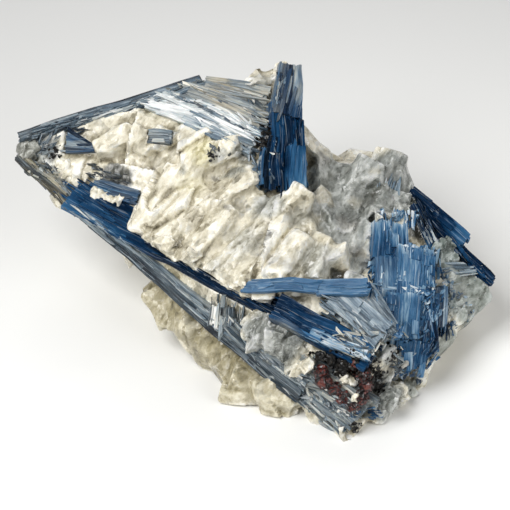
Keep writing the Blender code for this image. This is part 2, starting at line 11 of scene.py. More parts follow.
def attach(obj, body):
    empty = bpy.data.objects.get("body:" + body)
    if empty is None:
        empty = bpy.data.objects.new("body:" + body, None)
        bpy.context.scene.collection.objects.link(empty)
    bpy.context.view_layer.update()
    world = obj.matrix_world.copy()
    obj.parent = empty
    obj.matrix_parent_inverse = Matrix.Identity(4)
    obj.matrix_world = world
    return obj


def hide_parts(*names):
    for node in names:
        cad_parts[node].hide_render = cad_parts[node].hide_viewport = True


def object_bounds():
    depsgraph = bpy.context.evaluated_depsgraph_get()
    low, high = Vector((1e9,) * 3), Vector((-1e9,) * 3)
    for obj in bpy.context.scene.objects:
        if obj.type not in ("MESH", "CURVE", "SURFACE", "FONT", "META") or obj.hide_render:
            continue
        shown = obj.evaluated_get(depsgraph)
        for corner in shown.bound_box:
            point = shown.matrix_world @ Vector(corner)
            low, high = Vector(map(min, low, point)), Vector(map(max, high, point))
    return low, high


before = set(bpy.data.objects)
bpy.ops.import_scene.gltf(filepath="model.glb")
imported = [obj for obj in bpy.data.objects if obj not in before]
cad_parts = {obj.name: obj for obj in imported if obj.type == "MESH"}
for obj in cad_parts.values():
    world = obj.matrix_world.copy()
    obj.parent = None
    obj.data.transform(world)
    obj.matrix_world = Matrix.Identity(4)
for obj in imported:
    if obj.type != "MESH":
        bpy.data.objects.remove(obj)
cad_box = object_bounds()

# ---- The lump ----------------------------------------------------------------------------
# Milky vein quartz, one piece, which the crystals grew through. It is broken rather than grown into
# points, so its skin is hundreds of small flat and shell-like breaks with clefts between them. It
# starts from the lump's own solid and is shattered further. Sizes are in millimetres throughout.

METRES = 0.001  # in a millimetre
LUMP_VOXEL = 0.32
LUMP_TRIANGLES = 192000
LUMP_BREAKS = ((7.2, 0.26), (3.0, 0.14))  # widths of its breaks, and how steeply each stands up
LUMP_RISE = (-1.6, 0.9)  # how far the breaks may cut in or stand out
LUMP_SINK = 0.3  # how far the quartz runs in under a crystal, so that no slit shows round it
LUMP_REST = 0.12  # what stands lower than this lies flat on the table
LUMP_EDGE = 14  # degrees between two faces that meet in a sharp edge
SHARD_STRETCH = 1.9  # how much longer than wide a break is
SHARD_FACES = 7
SHARD_LEVEL = 0.42  # the height in a crust of shards that stays where the surface was
TABLE_ROWS = 4096
CELL_HASH = (73856093, 19349663, 83492791)
RIDGE_HEIGHT = 0.12  # that counts as a full ridge
CRYSTAL_REACH = 3  # how far from a crystal the quartz heeds it
CLEFT_FILL = 0.65  # half the width of the clefts that are closed
BACK_HOLE, BACK_HOLE_FILL = (-21.5, 27.5, 13), 1.5  # a hole through the back, and what closes it
CALM = 0.5  # how much lower the breaks are in the clear grey quartz at the upper right

FRONT_RISE = math.radians(40)  # how far the front's outward direction points above the horizon
FOOT_V = -36.4  # how far up the front its foot is
ORIGIN_U, ORIGIN_DEPTH = -0.1, 33.4  # where the part's origin lies, along the front and behind its foot
FAR_OUT = 60  # from where the front is looked at


def on_front(u, v, d):
    """A point of the lump's leaning front (right, up the front, out of it), in the part's millimetres."""
    climb = v - FOOT_V
    back = climb * math.sin(FRONT_RISE) - d * math.cos(FRONT_RISE) - ORIGIN_DEPTH
    return np.array((u - ORIGIN_U, back, climb * math.cos(FRONT_RISE) + d * math.sin(FRONT_RISE)))


def along_front(u, v, d):
    """A direction of the front, as a unit vector."""
    way = on_front(u, v, d) - on_front(0, 0, 0)
    return way / np.linalg.norm(way)


OUTWARD = along_front(0, 0, 1)
QUARTZ_GRAIN = along_front(0.55, 0.8, -0.3)  # the way its ridges run


def shatter(points, width, long_way, seed):
    """How high a crust of angular shards stands at each point, in shard widths, and a tone for the flat
    break that each point lies on."""
    rng = np.random.default_rng(seed)
    middles = rng.uniform(0, 1, (TABLE_ROWS, 3))
    radii = rng.uniform(0.35, 0.75, TABLE_ROWS)
    faces = rng.normal(size=(TABLE_ROWS, SHARD_FACES, 3))
    faces /= np.linalg.norm(faces, axis=2)[..., None]
    tones = rng.uniform(0, 1, (TABLE_ROWS, SHARD_FACES))
    lengthwise = points @ long_way
    places = (points - np.outer(lengthwise * (1 - 1 / SHARD_STRETCH), long_way)) / width
    cells = np.floor(places).astype(np.int64)
    height = np.full(len(points), -np.inf)
    tone = np.zeros(len(points))
    for step in np.ndindex(3, 3, 3):
        cell = cells + np.array(step) - 1
        row = np.bitwise_xor.reduce(cell * np.array(CELL_HASH), axis=1) % TABLE_ROWS
        away = places - cell - middles[row]
        reach = np.einsum("nkc,nc->nk", faces[row], away)
        nearest = reach.argmax(axis=1)
        rise = radii[row] - reach[np.arange(len(row)), nearest]
        higher = rise > height
        height[higher] = rise[higher]
        tone[higher] = tones[row, nearest][higher]
    return height, tone


def broken(points, breaks, long_way, seed, level=SHARD_LEVEL):
    """How far breaks of several widths lift each point, and the height and tone that each width gives."""
    rise, heights, tones = np.zeros(len(points)), [], []
    for step, (width, steepness) in enumerate(breaks):
        height, tone = shatter(points, width, long_way, seed + step)
        rise += (height - level) * steepness * width
        heights.append(height)
        tones.append(tone)
    return rise, heights, tones


def smooth_step(value, low, high):
    share = np.clip((value - low) / (high - low), 0, 1)
    return share * share * (3 - 2 * share)


def corners_of(mesh, attribute="co"):
    values = np.empty(len(mesh.vertices) * 3, np.float32)
    mesh.vertices.foreach_get(attribute, values)
    return values.reshape(-1, 3).astype(float)


def move_corners(mesh, points):
    mesh.vertices.foreach_set("co", (points * METRES).astype(np.float32).ravel())


def inside_box(points):
    """The points, none of them outside the solids' box."""
    low, high = (np.array(corner) / METRES for corner in cad_box)
    return np.clip(points, low + 0.02, high - 0.02)


def new_piece(name, mesh):
    piece = bpy.data.objects.new(name, mesh)
    bpy.context.scene.collection.objects.link(piece)
    return piece


def keep_result(piece):
    """Replaces a piece's mesh by what its modifiers make of it."""
    graph = bpy.context.evaluated_depsgraph_get()
    result = bpy.data.meshes.new_from_object(piece.evaluated_get(graph))
    piece.modifiers.clear()
    piece.data = result


def remesh(piece, voxel):
    """Makes the piece one closed skin of small even faces."""
    skin = piece.modifiers.new("Remesh", "REMESH")
    skin.mode = "VOXEL"
    skin.voxel_size = voxel * METRES
    keep_result(piece)


def sharpen(mesh, degrees):
    """Shades the mesh smooth but for the edges that are sharper than that."""
    mesh.shade_smooth()
    mesh.set_sharp_from_angle(angle=math.radians(degrees))


def give(mesh, name, values):
    """Keeps a value for each corner of the mesh, for its material to read."""
    kind, field = ("FLOAT", "value") if values.ndim == 1 else ("FLOAT_VECTOR", "vector")
    mesh.attributes.new(name, kind, "POINT").data.foreach_set(field, values.astype(np.float32).ravel())


def fasten(piece, material, node=None):
    """Gives the piece its material, fixes it to the root body, and hides the node's own solid."""
    piece.data.materials.clear()
    piece.data.materials.append(material)
    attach(piece, "root")
    if node:
        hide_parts(node)


def surface_of(meshes):
    """Several meshes as one surface, to find how near it is or where a ray meets it."""
    corners, faces = [], []
    for mesh in meshes:
        faces += [[len(corners) + i for i in face.vertices] for face in mesh.polygons]
        corners += [v.co / METRES for v in mesh.vertices]
    return BVHTree.FromPolygons(corners, faces)


def depth_at(u, v, surface):
    """How far out of the front the surface stands there, or nothing where there is none."""
    away = surface.ray_cast(Vector(on_front(u, v, FAR_OUT)), Vector(-OUTWARD))[3]
    return None if away is None else FAR_OUT - away


def near(points, surface):
    """For each point the distance to the surface, and the way to it."""
    distance = np.full(len(points), float(CRYSTAL_REACH))
    way = np.zeros((len(points), 3))
    for index, point in enumerate(points):
        found, _, _, away = surface.find_nearest(point, CRYSTAL_REACH)
        if found is not None and away > 0:
            distance[index] = away
            way[index] = (np.array(found) - point) / away
    return distance, way


def give_breaks(mesh, points, tones, cleft):
    """What the quartz's material reads: each break's tone, how deep in a cleft, and along which grain."""
    sideways = np.cross(QUARTZ_GRAIN, OUTWARD)
    ways = (QUARTZ_GRAIN, sideways, np.cross(QUARTZ_GRAIN, sideways))
    give(mesh, "facet", sum(tones) / len(tones))
    give(mesh, "lie", np.stack([points @ way for way in ways], axis=1))
    give(mesh, "cleft", cleft)


def give_ridges(mesh, rounds=2):
    """How sharply the surface stands up at each corner: above nothing on a ridge, below it in a crease, for
    painted highlights and painted shade.
    """
    points = corners_of(mesh) / METRES
    normals = corners_of(mesh, "normal")
    ends = np.empty(len(mesh.edges) * 2, np.int32)
    mesh.edges.foreach_get("vertices", ends)
    ends = ends.reshape(-1, 2)
    count = np.bincount(ends.ravel(), minlength=len(points))

    def around(values):
        total = np.zeros_like(values)
        np.add.at(total, ends[:, 0], values[ends[:, 1]])
        np.add.at(total, ends[:, 1], values[ends[:, 0]])
        return total / (count if values.ndim == 1 else count[:, None])

    height = np.einsum("nc,nc->n", points - around(around(points)), normals)
    for _ in range(rounds):
        height = (height + around(height)) / 2
    give(mesh, "ridge", np.clip(height / RIDGE_HEIGHT, -1, 1))


def shape_lump():
    """The lump's solid with its narrow clefts closed, shattered, and drawn in under the crystals."""
    lump = new_piece("quartz_lump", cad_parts["quartz_matrix"].data.copy())
    remesh(lump, LUMP_VOXEL)
    for swell in (CLEFT_FILL, -CLEFT_FILL):
        points = corners_of(lump.data) / METRES
        free = smooth_step(near(points, crystals)[0], 0.8, 2.2) * smooth_step(points[:, 2], 0.2, 1.5)
        free *= 1 + BACK_HOLE_FILL * (1 - smooth_step(np.linalg.norm(points - BACK_HOLE, axis=1), 6, 11))
        move_corners(lump.data, points + corners_of(lump.data, "normal") * (swell * free)[:, None])
        remesh(lump, LUMP_VOXEL)
    mesh = lump.data
    points = corners_of(mesh) / METRES
    distance, way = near(points, crystals)
    clear = smooth_step(distance, 0.5, 1.8) * smooth_step(points[:, 2], 0.05, 0.9)
    clear *= 1 - CALM * smooth_step(points[:, 0], 8, 16) * smooth_step(points[:, 2], 10, 16)
    rise, heights, tones = broken(points, LUMP_BREAKS, QUARTZ_GRAIN, seed=20)
    points += corners_of(mesh, "normal") * (np.clip(rise, *LUMP_RISE) * clear)[:, None]
    sink = (distance + LUMP_SINK) * (1 - smooth_step(distance, 0.45, 0.95))
    points = inside_box(points + way * sink[:, None])
    points[:, 2] = np.where(points[:, 2] < LUMP_REST, 0, points[:, 2])
    move_corners(mesh, points)
    give_breaks(mesh, points, tones, np.minimum(*(smooth_step(height, 0.04, 0.3) for height in heights)))
    thin = lump.modifiers.new("Decimate", "DECIMATE")
    thin.ratio = min(1, LUMP_TRIANGLES / (2 * len(mesh.polygons)))
    keep_result(lump)
    give_ridges(lump.data)
    sharpen(lump.data, LUMP_EDGE)
    return lump


def linear(colour):
    """An sRGB hex colour as linear light."""
    parts = [int(colour[i : i + 2], 16) / 255 for i in (1, 3, 5)]
    return (*(p / 12.92 if p <= 0.04045 else ((p + 0.055) / 1.055) ** 2.4 for p in parts), 1)


def feed(tree, node, inputs):
    """Sets a node's inputs. Each takes a value, or another node's output, which is linked."""
    for name, value in inputs.items():
        if isinstance(value, bpy.types.NodeSocket):
            tree.links.new(value, node.inputs[name])
        else:
            node.inputs[name].default_value = value


def add(tree, kind, inputs=None, output=0, stops=(), **settings):
    """Adds a shader node with its settings and inputs, and gives one output. stops are a ramp's."""
    node = tree.nodes.new("ShaderNode" + kind)
    for name, value in settings.items():
        setattr(node, name, value)
    feed(tree, node, inputs or {})
    while stops and len(node.color_ramp.elements) < len(stops):
        node.color_ramp.elements.new(0.5)
    for index, (place, colour) in enumerate(stops):
        node.color_ramp.elements[index].position = place
        node.color_ramp.elements[index].color = linear(colour)
    return node.outputs[output]


def start_material(name):
    """A material with its tree and its shader."""
    material = bpy.data.materials.new(name)
    material.use_nodes = True
    tree = material.node_tree
    return material, tree, tree.nodes["Principled BSDF"]


QUARTZ_SHADES = dict(
    # each kind of quartz, from its darkest veins to its brightest breaks; the dark kind is also painted
    # shadow above the inner blade
    cream=((0.0, "#7d755f"), (0.3, "#b9b19a"), (0.55, "#dcd5bf"), (0.8, "#f3edda"), (1.0, "#fffdf3")),
    yellow=((0.0, "#958a5c"), (0.35, "#d8cf9d"), (0.65, "#ede6c0"), (1.0, "#fbf6da")),
    grey=((0.0, "#454944"), (0.3, "#787c77"), (0.55, "#a3a7a2"), (0.8, "#d2d5d0"), (1.0, "#f8f9f6")),
    smoky=((0.0, "#23211c"), (0.35, "#514e46"), (0.65, "#86827a"), (1.0, "#c9c6bc")),
    dark=((0.0, "#0b0e0d"), (0.35, "#262a28"), (0.65, "#4c504d"), (1.0, "#a09f98")),
    olive=((0.0, "#5f593f"), (0.35, "#958c6d"), (0.65, "#b5ac8f"), (1.0, "#ddd6bd")),
    green=((0.0, "#29322f"), (0.35, "#5d6b68"), (0.65, "#8b9996"), (1.0, "#ccd5d2")),
)
CLEAR_KINDS = ("grey", "smoky", "green", "dark")
CLEARNESS = 0.3  # how much light such quartz passes straight on, where the milky kind scatters it
QUARTZ_ZONES = (
    # kind of quartz, where on the front its zone's middle shows, its radius, its soft rim, its strength
    ("yellow", (-10.4, 20.6), 4.4, 3.4, 0.75),
    ("yellow", (-13, 14), 4, 3.4, 0.4),
    ("smoky", (-7.6, 15.4), 1.5, 1.1, 0.6),
    ("grey", (19, 13), 12, 4, 0.95),
    ("grey", (12.6, -1.4), 6, 3, 0.6),
    ("grey", (9, 8), 4, 3, 0.5),
    ("grey", (29, 15), 9, 4, 1),
    ("grey", (18, 4), 7, 3, 0.9),
    ("smoky", (18, 6), 3.6, 2.6, 0.7),
    ("cream", (13.8, 12), 3.2, 1.0, 0.85),
    ("cream", (20, 10), 2.2, 1.6, 0.4),
    ("cream", (24, 16.6), 1.6, 1.2, 0.5),
    ("smoky", (21.4, 0), 3.4, 2.4, 0.65),
    ("smoky", (13.4, 19.4), 3, 2, 0.5),
    ("grey", (-2, 21), 4, 2.4, 0.8),
    ("grey", (-6.6, 20), 1.8, 1.2, 0.6),
    ("smoky", (-5.4, 9.8), 1.6, 1.2, 0.7),
    ("smoky", (4.2, -1), 2.8, 2, 0.5),
    ("grey", (-2, 3), 6, 4, 0.45),
    ("grey", (1.4, 35), 4, 2, 0.6),
    ("olive", (1.4, 35), 3, 2, 0.5),
    ("olive", (-20, -9), 13, 4, 1),
    ("olive", (-8, -22), 11, 4, 1),
    ("olive", (3, -29), 7, 3, 0.9),
    ("green", (38, 0), 6, 3, 0.9),
    ("green", (44, -9), 8, 3, 0.8),
    ("green", (38.6, -9), 4, 2, 0.9),
    ("green", (37.4, -18), 5, 2, 0.7),
    ("dark", (33.8, 5.4), 3.6, 1.6, 0.9),
    ("grey", (28.6, 8.4), 3, 1.6, 0.9),
    ("olive", (-42, 10), 5, 2, 0.9),
    ("grey", (-45, 21), 7, 3, 0.8),
    ("dark", (-41.4, 21.4), 3.0, 2, 0.8),
    ("dark", (-8.4, 19.6), 2, 1.2, 0.6),
    ("smoky", (6, -1.4), 1.6, 1.2, 0.6),
    ("grey", (-14, 16.6), 1.6, 1.4, 0.6),
    ("grey", (-4.6, 16.6), 3, 2, 0.75),
    ("grey", (2.6, 10), 5, 3, 0.75),
    ("grey", (-8, -1.4), 3, 2.6, 0.4),
    ("cream", (7, -0.6), 2.6, 1.4, 0.7),
    ("smoky", (18, -3), 1.6, 1.2, 0.7),
    ("smoky", (-46.6, 17), 4, 2.4, 0.5),
    # painted shadow: these two dark zones paint the shade above the inner blade
    ("dark", (-29, 16.4), 2.8, 1.2, 0.9),
    ("dark", (-26.2, 15.2), 2.8, 1.2, 0.95),
    ("grey", (4, -16.6), 8, 3, 0.95),
    ("smoky", (5, -18), 3, 2, 0.4),
    ("grey", (21.4, -2.2), 3, 1.6, 0.8),
    ("grey", (7, -9), 5, 3, 0.4),
    ("grey", (24, -15), 8, 4, 0.9),
    ("smoky", (27.4, -23.4), 4, 3, 0.6),
    ("grey", (26, -29), 7, 3, 0.95),
    ("smoky", (24.6, -26), 2.4, 1.4, 0.8),
    ("green", (31.4, -26), 4, 2, 0.7),
    ("dark", (16, -3.6), 2.2, 0.9, 0.9),
    ("grey", (20.2, -3.6), 3, 1.4, 0.9),
    ("green", (36.6, -10.2), 3, 1.6, 0.95),
    ("smoky", (29.6, -22.2), 2.6, 1.6, 0.9),
    ("grey", (27, -19.4), 4, 2.4, 1),
    ("smoky", (31.2, 7.6), 2.2, 1.4, 0.9),
)

# Length, width and tilt of the small breaks on the quartz, and how much their tones differ
QUARTZ_BREAKS = ((5.0, 2.6, 0.8, 0.32), (2.0, 1.0, 0.6, 0.24), (0.8, 0.5, 0.35, 0.12))
HALF = (0.5, 0.5, 0.5)


def milky_quartz():
    """Broken vein quartz: glassy on each small break, milky within, with smoky and rust-stained parts."""
    material, tree, shader = start_material("broken_milky_quartz")
    place = add(tree, "TexCoord", output="Object")
    facet = add(tree, "Attribute", output="Fac", attribute_name="facet")
    cleft = add(tree, "Attribute", output="Fac", attribute_name="cleft")
    ridge = add(tree, "Attribute", output="Fac", attribute_name="ridge")
    lie = add(tree, "Attribute", output="Vector", attribute_name="lie")
    # Milky veils 2 to 8 mm wide; their edges wander, so the zones' rims are bent by the same noise.
    cloud = add(tree, "TexNoise", {"Vector": place, "Scale": 230, "Detail": 5, "Roughness": 0.62})
    wander = add(tree, "VectorMath", {0: cloud.node.outputs["Color"], 1: HALF}, operation="SUBTRACT")
    shift = add(tree, "VectorMath", {0: wander, "Scale": 0.006}, operation="SCALE")
    bent = add(tree, "VectorMath", {0: place, 1: shift}, operation="ADD")
    # Streaks along the ridges, about 1 mm apart, and a fine mottle like crushed sugar.
    waver = add(tree, "VectorMath", {0: wander, "Scale": 2.6}, operation="SCALE")
    laid = add(tree, "VectorMath", {0: lie, 1: waver}, operation="ADD")
    drawn = add(tree, "VectorMath", {0: laid, 1: (0.22, 1.5, 1.5)}, operation="MULTIPLY")
    streak = add(tree, "TexNoise", {"Vector": drawn, "Scale": 1, "Detail": 6, "Roughness": 0.68})
    level = add(tree, "Math", {0: streak, 1: cloud}, operation="ADD")
    limits = {"From Min": 0.65, "From Max": 1.35, "To Min": 0.3, "To Max": 0.9}
    level = add(tree, "MapRange", {"Value": level, **limits}, clamp=False)
    mottle = add(tree, "TexNoise", {"Vector": place, "Scale": 1100, "Detail": 3, "Roughness": 0.7})
    mottle = add(tree, "Math", {0: mottle, 1: 0.5}, operation="SUBTRACT")
    level = add(tree, "Math", {0: mottle, 1: 0.3, 2: level}, operation="MULTIPLY_ADD")
    # Small breaks drawn out along the ridges. Each throws the light its own way and has a tone of its
    # own, so the surface is a patchwork of flat glints.
    normal = add(tree, "NewGeometry", output="Normal")
    for length, width, tilt, contrast in QUARTZ_BREAKS:
        scale = (1 / length, 1 / width, 1 / width)
        drawn = add(tree, "VectorMath", {0: laid, 1: scale}, operation="MULTIPLY")
        cell = add(tree, "TexVoronoi", {"Vector": drawn, "Scale": 1}, output="Color")
        lean = add(tree, "VectorMath", {0: cell, 1: HALF}, operation="SUBTRACT")
        turn = add(tree, "VectorMath", {0: lean, "Scale": tilt}, operation="SCALE")
        normal = add(tree, "VectorMath", {0: normal, 1: turn}, operation="ADD")
        part = add(tree, "SeparateXYZ", {"Vector": lean})
        level = add(tree, "Math", {0: part, 1: contrast, 2: level}, operation="MULTIPLY_ADD")
    # Each break's own tone, then painted light: ridges painted lighter, a painted highlight of thin edges
    # that pass the light, and creases painted darker, a painted shade.
    level = add(tree, "Math", {0: facet, 1: 0.5, 2: level}, operation="MULTIPLY_ADD")
    level = add(tree, "Math", {0: ridge, 1: 0.35, 2: level}, operation="MULTIPLY_ADD")
    level = add(tree, "Math", {0: level, 1: 0.27}, operation="SUBTRACT")
    kinds = {k: add(tree, "ValToRGB", {"Fac": level}, stops=stops) for k, stops in QUARTZ_SHADES.items()}
    colour, clear = kinds["cream"], 0
    for kind, (u, v), radius, rim, strength in QUARTZ_ZONES:
        middle = tuple(on_front(u, v, depth_at(u, v, solids) or 0) * METRES)
        away = add(tree, "VectorMath", {0: bent, 1: middle}, output="Value", operation="DISTANCE")
        limits = {"From Min": (radius - rim) * METRES, "From Max": radius * METRES, "To Min": strength}
        limits |= {"Value": away, "To Max": 0}
        share = add(tree, "MapRange", limits, interpolation_type="SMOOTHSTEP")
        colour = add(tree, "MixRGB", {"Fac": share, "Color1": colour, "Color2": kinds[kind]})
        if kind in CLEAR_KINDS:
            clear = add(tree, "Math", {0: share, 1: clear}, operation="MAXIMUM")
    # Darker grey-brown deep in the clefts
    cleft_noise = add(tree, "TexNoise", {"Vector": place, "Scale": 900, "Detail": 4})
    depth = add(tree, "Math", {0: cleft, 1: cleft_noise}, operation="ADD")
    limits = {"From Min": 0.35, "From Max": 0.95, "To Min": 0.3, "To Max": 0}
    cleft_darkening = add(tree, "MapRange", {"Value": depth, **limits})
    colour = add(tree, "MixRGB", {"Fac": cleft_darkening, "Color1": colour, "Color2": linear("#6a6656")})
    ripple = add(tree, "TexNoise", {"Vector": place, "Scale": 1300, "Detail": 5, "Roughness": 0.6})
    height = add(tree, "Math", {0: ripple, 1: streak}, operation="ADD")
    facing = add(tree, "VectorMath", {0: normal}, operation="NORMALIZE")
    bumps = {"Height": height, "Normal": facing, "Strength": 0.4, "Distance": 0.0001}
    skin = {
        "Base Color": colour,
        "Roughness": add(tree, "MapRange", {"Value": facet, "To Min": 0.12, "To Max": 0.45}),
        "Normal": add(tree, "Bump", bumps),
        "IOR": 1.544,
        "Transmission Weight": add(tree, "Math", {0: clear, 1: CLEARNESS}, operation="MULTIPLY"),
        "Subsurface Weight": 0.15,
        "Subsurface Radius": (1.0, 0.92, 0.78),
        "Subsurface Scale": 0.0014,
        "Coat Weight": 0.35,
        "Coat Roughness": 0.08,
    }
    feed(tree, shader, skin)
    return material


crystal_nodes = [made for name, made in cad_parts.items() if name != "quartz_matrix"]
crystals = surface_of(made.data for made in crystal_nodes)
solids = surface_of(made.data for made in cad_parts.values())
lump = shape_lump()
quartz = milky_quartz()
fasten(lump, quartz, "quartz_matrix")

# ---- The long blade and the fan ----------------------------------------------------------
# The long blade along the front, and the fan of shorter ones at its right end. Kyanite grows as flat
# blades and splits along their length, so each blade is a sheaf of splinters with broken ends. It is
# deep blue, nearly black where it runs in under the quartz, and held by the quartz that it grew in.

SPLINTER_WIDTHS = (0.15, 0.7)
SPLINTER_STATION = 1.6  # distance between a splinter's cross-sections
SPLINTER_LAP = 0.05
SPLINTER_BEVEL = 0.03
SPLINTER_TREMBLE = 0.015  # how unevenly a cleaved face runs
SPLINTER_END = 0.35  # how far a splinter may stop short of its layer's end
LAYER_CHANCE = 0.12  # that the next splinter belongs to another layer
LAYER_DROPS = (-0.4, 0)  # how far a layer's face lies behind the blade's
LAYER_BREAK = (0.08, 0.35)  # height of a step where part of a layer has come off
BREAK_RUN = 0.1  # how far such a step takes along the splinter
SLAB_COVER = 0.5  # how often a blade's face is covered over by its loosened slabs
SLAB_LENGTHS = (4, 13)
SLAB_WIDTHS = (0.4, 1.3)
SLAB_DEPTH = 0.7
SLAB_SKEW, SLIVER_SKEW = 0.12, 0.3
SLIVER_PLANES = 9
BEND = 0.5  # how far grown-in strain bends the crystals at most
BEND_LENGTH = 7.0
BLADE_EDGE = 25  # degrees between two faces that meet in a sharp edge
noise.seed_set(5)  # so that they bend the same way in each run

KYANITE_ZONES = (
    # where on the front the crystals are darker, brighter or browner, how far round, tone, stain, strength
    ((-27.4, 9.8), 3.4, 0.12, 0, 0.85),
    ((-33, 11), 3, 0.34, 0, 0.6),
    ((-25, 4.6), 2.4, 0.3, 0, 0.5),
    ((7.8, 28.6), 3, 0.2, 0, 0.7),
    ((5.4, 18), 2.2, 0.08, 0, 0.8),
    ((2.6, 24.6), 2, 0.05, 0, 0.8),
    # painted glow: these two zones tone the upright blades brighter low on the right, for light through the
    # thin edge
    ((9.4, 14.6), 2.8, 0.64, 0, 0.85),
    ((8.6, 20), 2, 0.5, 0, 0.7),
    ((5.4, -10.2), 3, 0.14, 0, 0.8),
    ((10, -13.4), 2.6, 0.24, 0, 0.7),
    ((15, -17.6), 2.2, 0.85, 0, 0.7),
    ((19.4, -19), 2, 0.8, 0, 0.6),
    ((16, -19.4), 1.2, 0.3, 0, 0.6),
    ((34.6, 6.6), 2.6, 0.03, 0, 0.9),
    ((37, 8), 2.6, 0.14, 0, 0.8),
    ((41.4, 5), 2.2, 0.44, 0, 0.8),
    ((37.6, -16.6), 2.4, 0.2, 0, 0.8),
    ((26.6, -11.4), 2, 0.24, 0, 0.7),
    ((-18, 31.4), 3.4, 0.95, 0, 0.8),
    ((-6, 27.4), 3, 0.98, 0, 0.7),
    ((-5, 23), 2.4, 0.8, 0, 0.5),
    ((-6.6, 33.4), 4, 0.55, 0.9, 0.7),
    ((1.4, 29), 3, 0.5, 0.5, 0.6),
    ((1.4, 18), 3, 0.4, 0.1, 0.6),
    ((-46, 22), 4, 0.4, 0.3, 0.6),
    ((-41, 23), 3, 0.2, 0.2, 0.6),
    ((27.4, -28), 3, 0.35, 0.2, 0.5),
    ((28.6, 7.8), 2, 0.72, 0, 0.7),
    ((34, 1.6), 2.4, 0.66, 0, 0.6),
    ((28, -5), 2.6, 0.75, 0, 0.5),
    ((31.4, -11.4), 3.4, 0.6, 0, 0.4),
    ((37, -9), 2.4, 0.36, 0, 0.5),
    ((34, -21.4), 2, 0.6, 0, 0.5),
    ((26, 2), 3, 0.38, 0, 0.5),
    ((21.4, -9), 2.6, 0.62, 0, 0.6),
    ((27, -23.4), 3, 0.25, 0.5, 0.7),
    ((5, -17), 5, 0.7, 1, 0.9),
    ((1.4, -14.6), 3, 0.6, 1, 0.8),
    ((9.6, -21), 3, 0.6, 0.9, 0.8),
    ((-5.4, -9), 3, 0.25, 0.3, 0.5),
)


def retone(points, tone, stain):
    """Tones and stains, as the zones change them."""
    x, y, z = points.T
    across = x + ORIGIN_U
    up = (y + ORIGIN_DEPTH) * math.sin(FRONT_RISE) + z * math.cos(FRONT_RISE) + FOOT_V
    for (u, v), radius, zone_tone, zone_stain, strength in KYANITE_ZONES:
        share = strength * (1 - smooth_step(np.hypot(across - u, up - v), 0.35 * radius, radius))
        tone = tone + (zone_tone - tone) * share
        stain = stain + (zone_stain - stain) * share
    return tone, stain


def cut_block(rng, planes, skew):
    """The corners and faces of a convex block of about unit size, which flat breaks have cut."""
    sides = np.concatenate((np.eye(3), -np.eye(3), rng.normal(size=(planes - 6, 3))))
    sides[:6] += rng.uniform(-skew, skew, (6, 3))
    sides /= np.linalg.norm(sides, axis=1)[:, None]
    reach = rng.uniform(0.6, 1, planes)
    triples = np.array(list(combinations(range(planes), 3)))
    triples = triples[np.abs(np.linalg.det(sides[triples])) > 0.01]
    points = np.linalg.solve(sides[triples], reach[triples][..., None])[..., 0]
    kept = (points @ sides.T <= reach + 1e-9).all(axis=1)
    points, triples = points[kept], triples[kept]
    faces = []
    for side in range(planes):
        rim = np.flatnonzero((triples == side).any(axis=1))
        if len(rim) > 2:
            spokes = points[rim] - points[rim].mean(axis=0)
            turned = np.cross(sides[side], spokes[0])
            faces.append(rim[np.argsort(np.arctan2(spokes @ turned, spokes @ spokes[0]))])
    return points, faces


def spot_on(start, end, reach, rng):
    """A random spot on the strip of the front from start to end, which is reach wide to each side."""
    (u0, v0), (u1, v1) = start, end
    share, side = rng.uniform(0, 1), rng.uniform(-reach, reach)
    long = math.hypot(u1 - u0, v1 - v0) or 1
    return (
        u0 + (u1 - u0) * share - (v1 - v0) / long * side,
        v0 + (v1 - v0) * share + (u1 - u0) / long * side,
    )


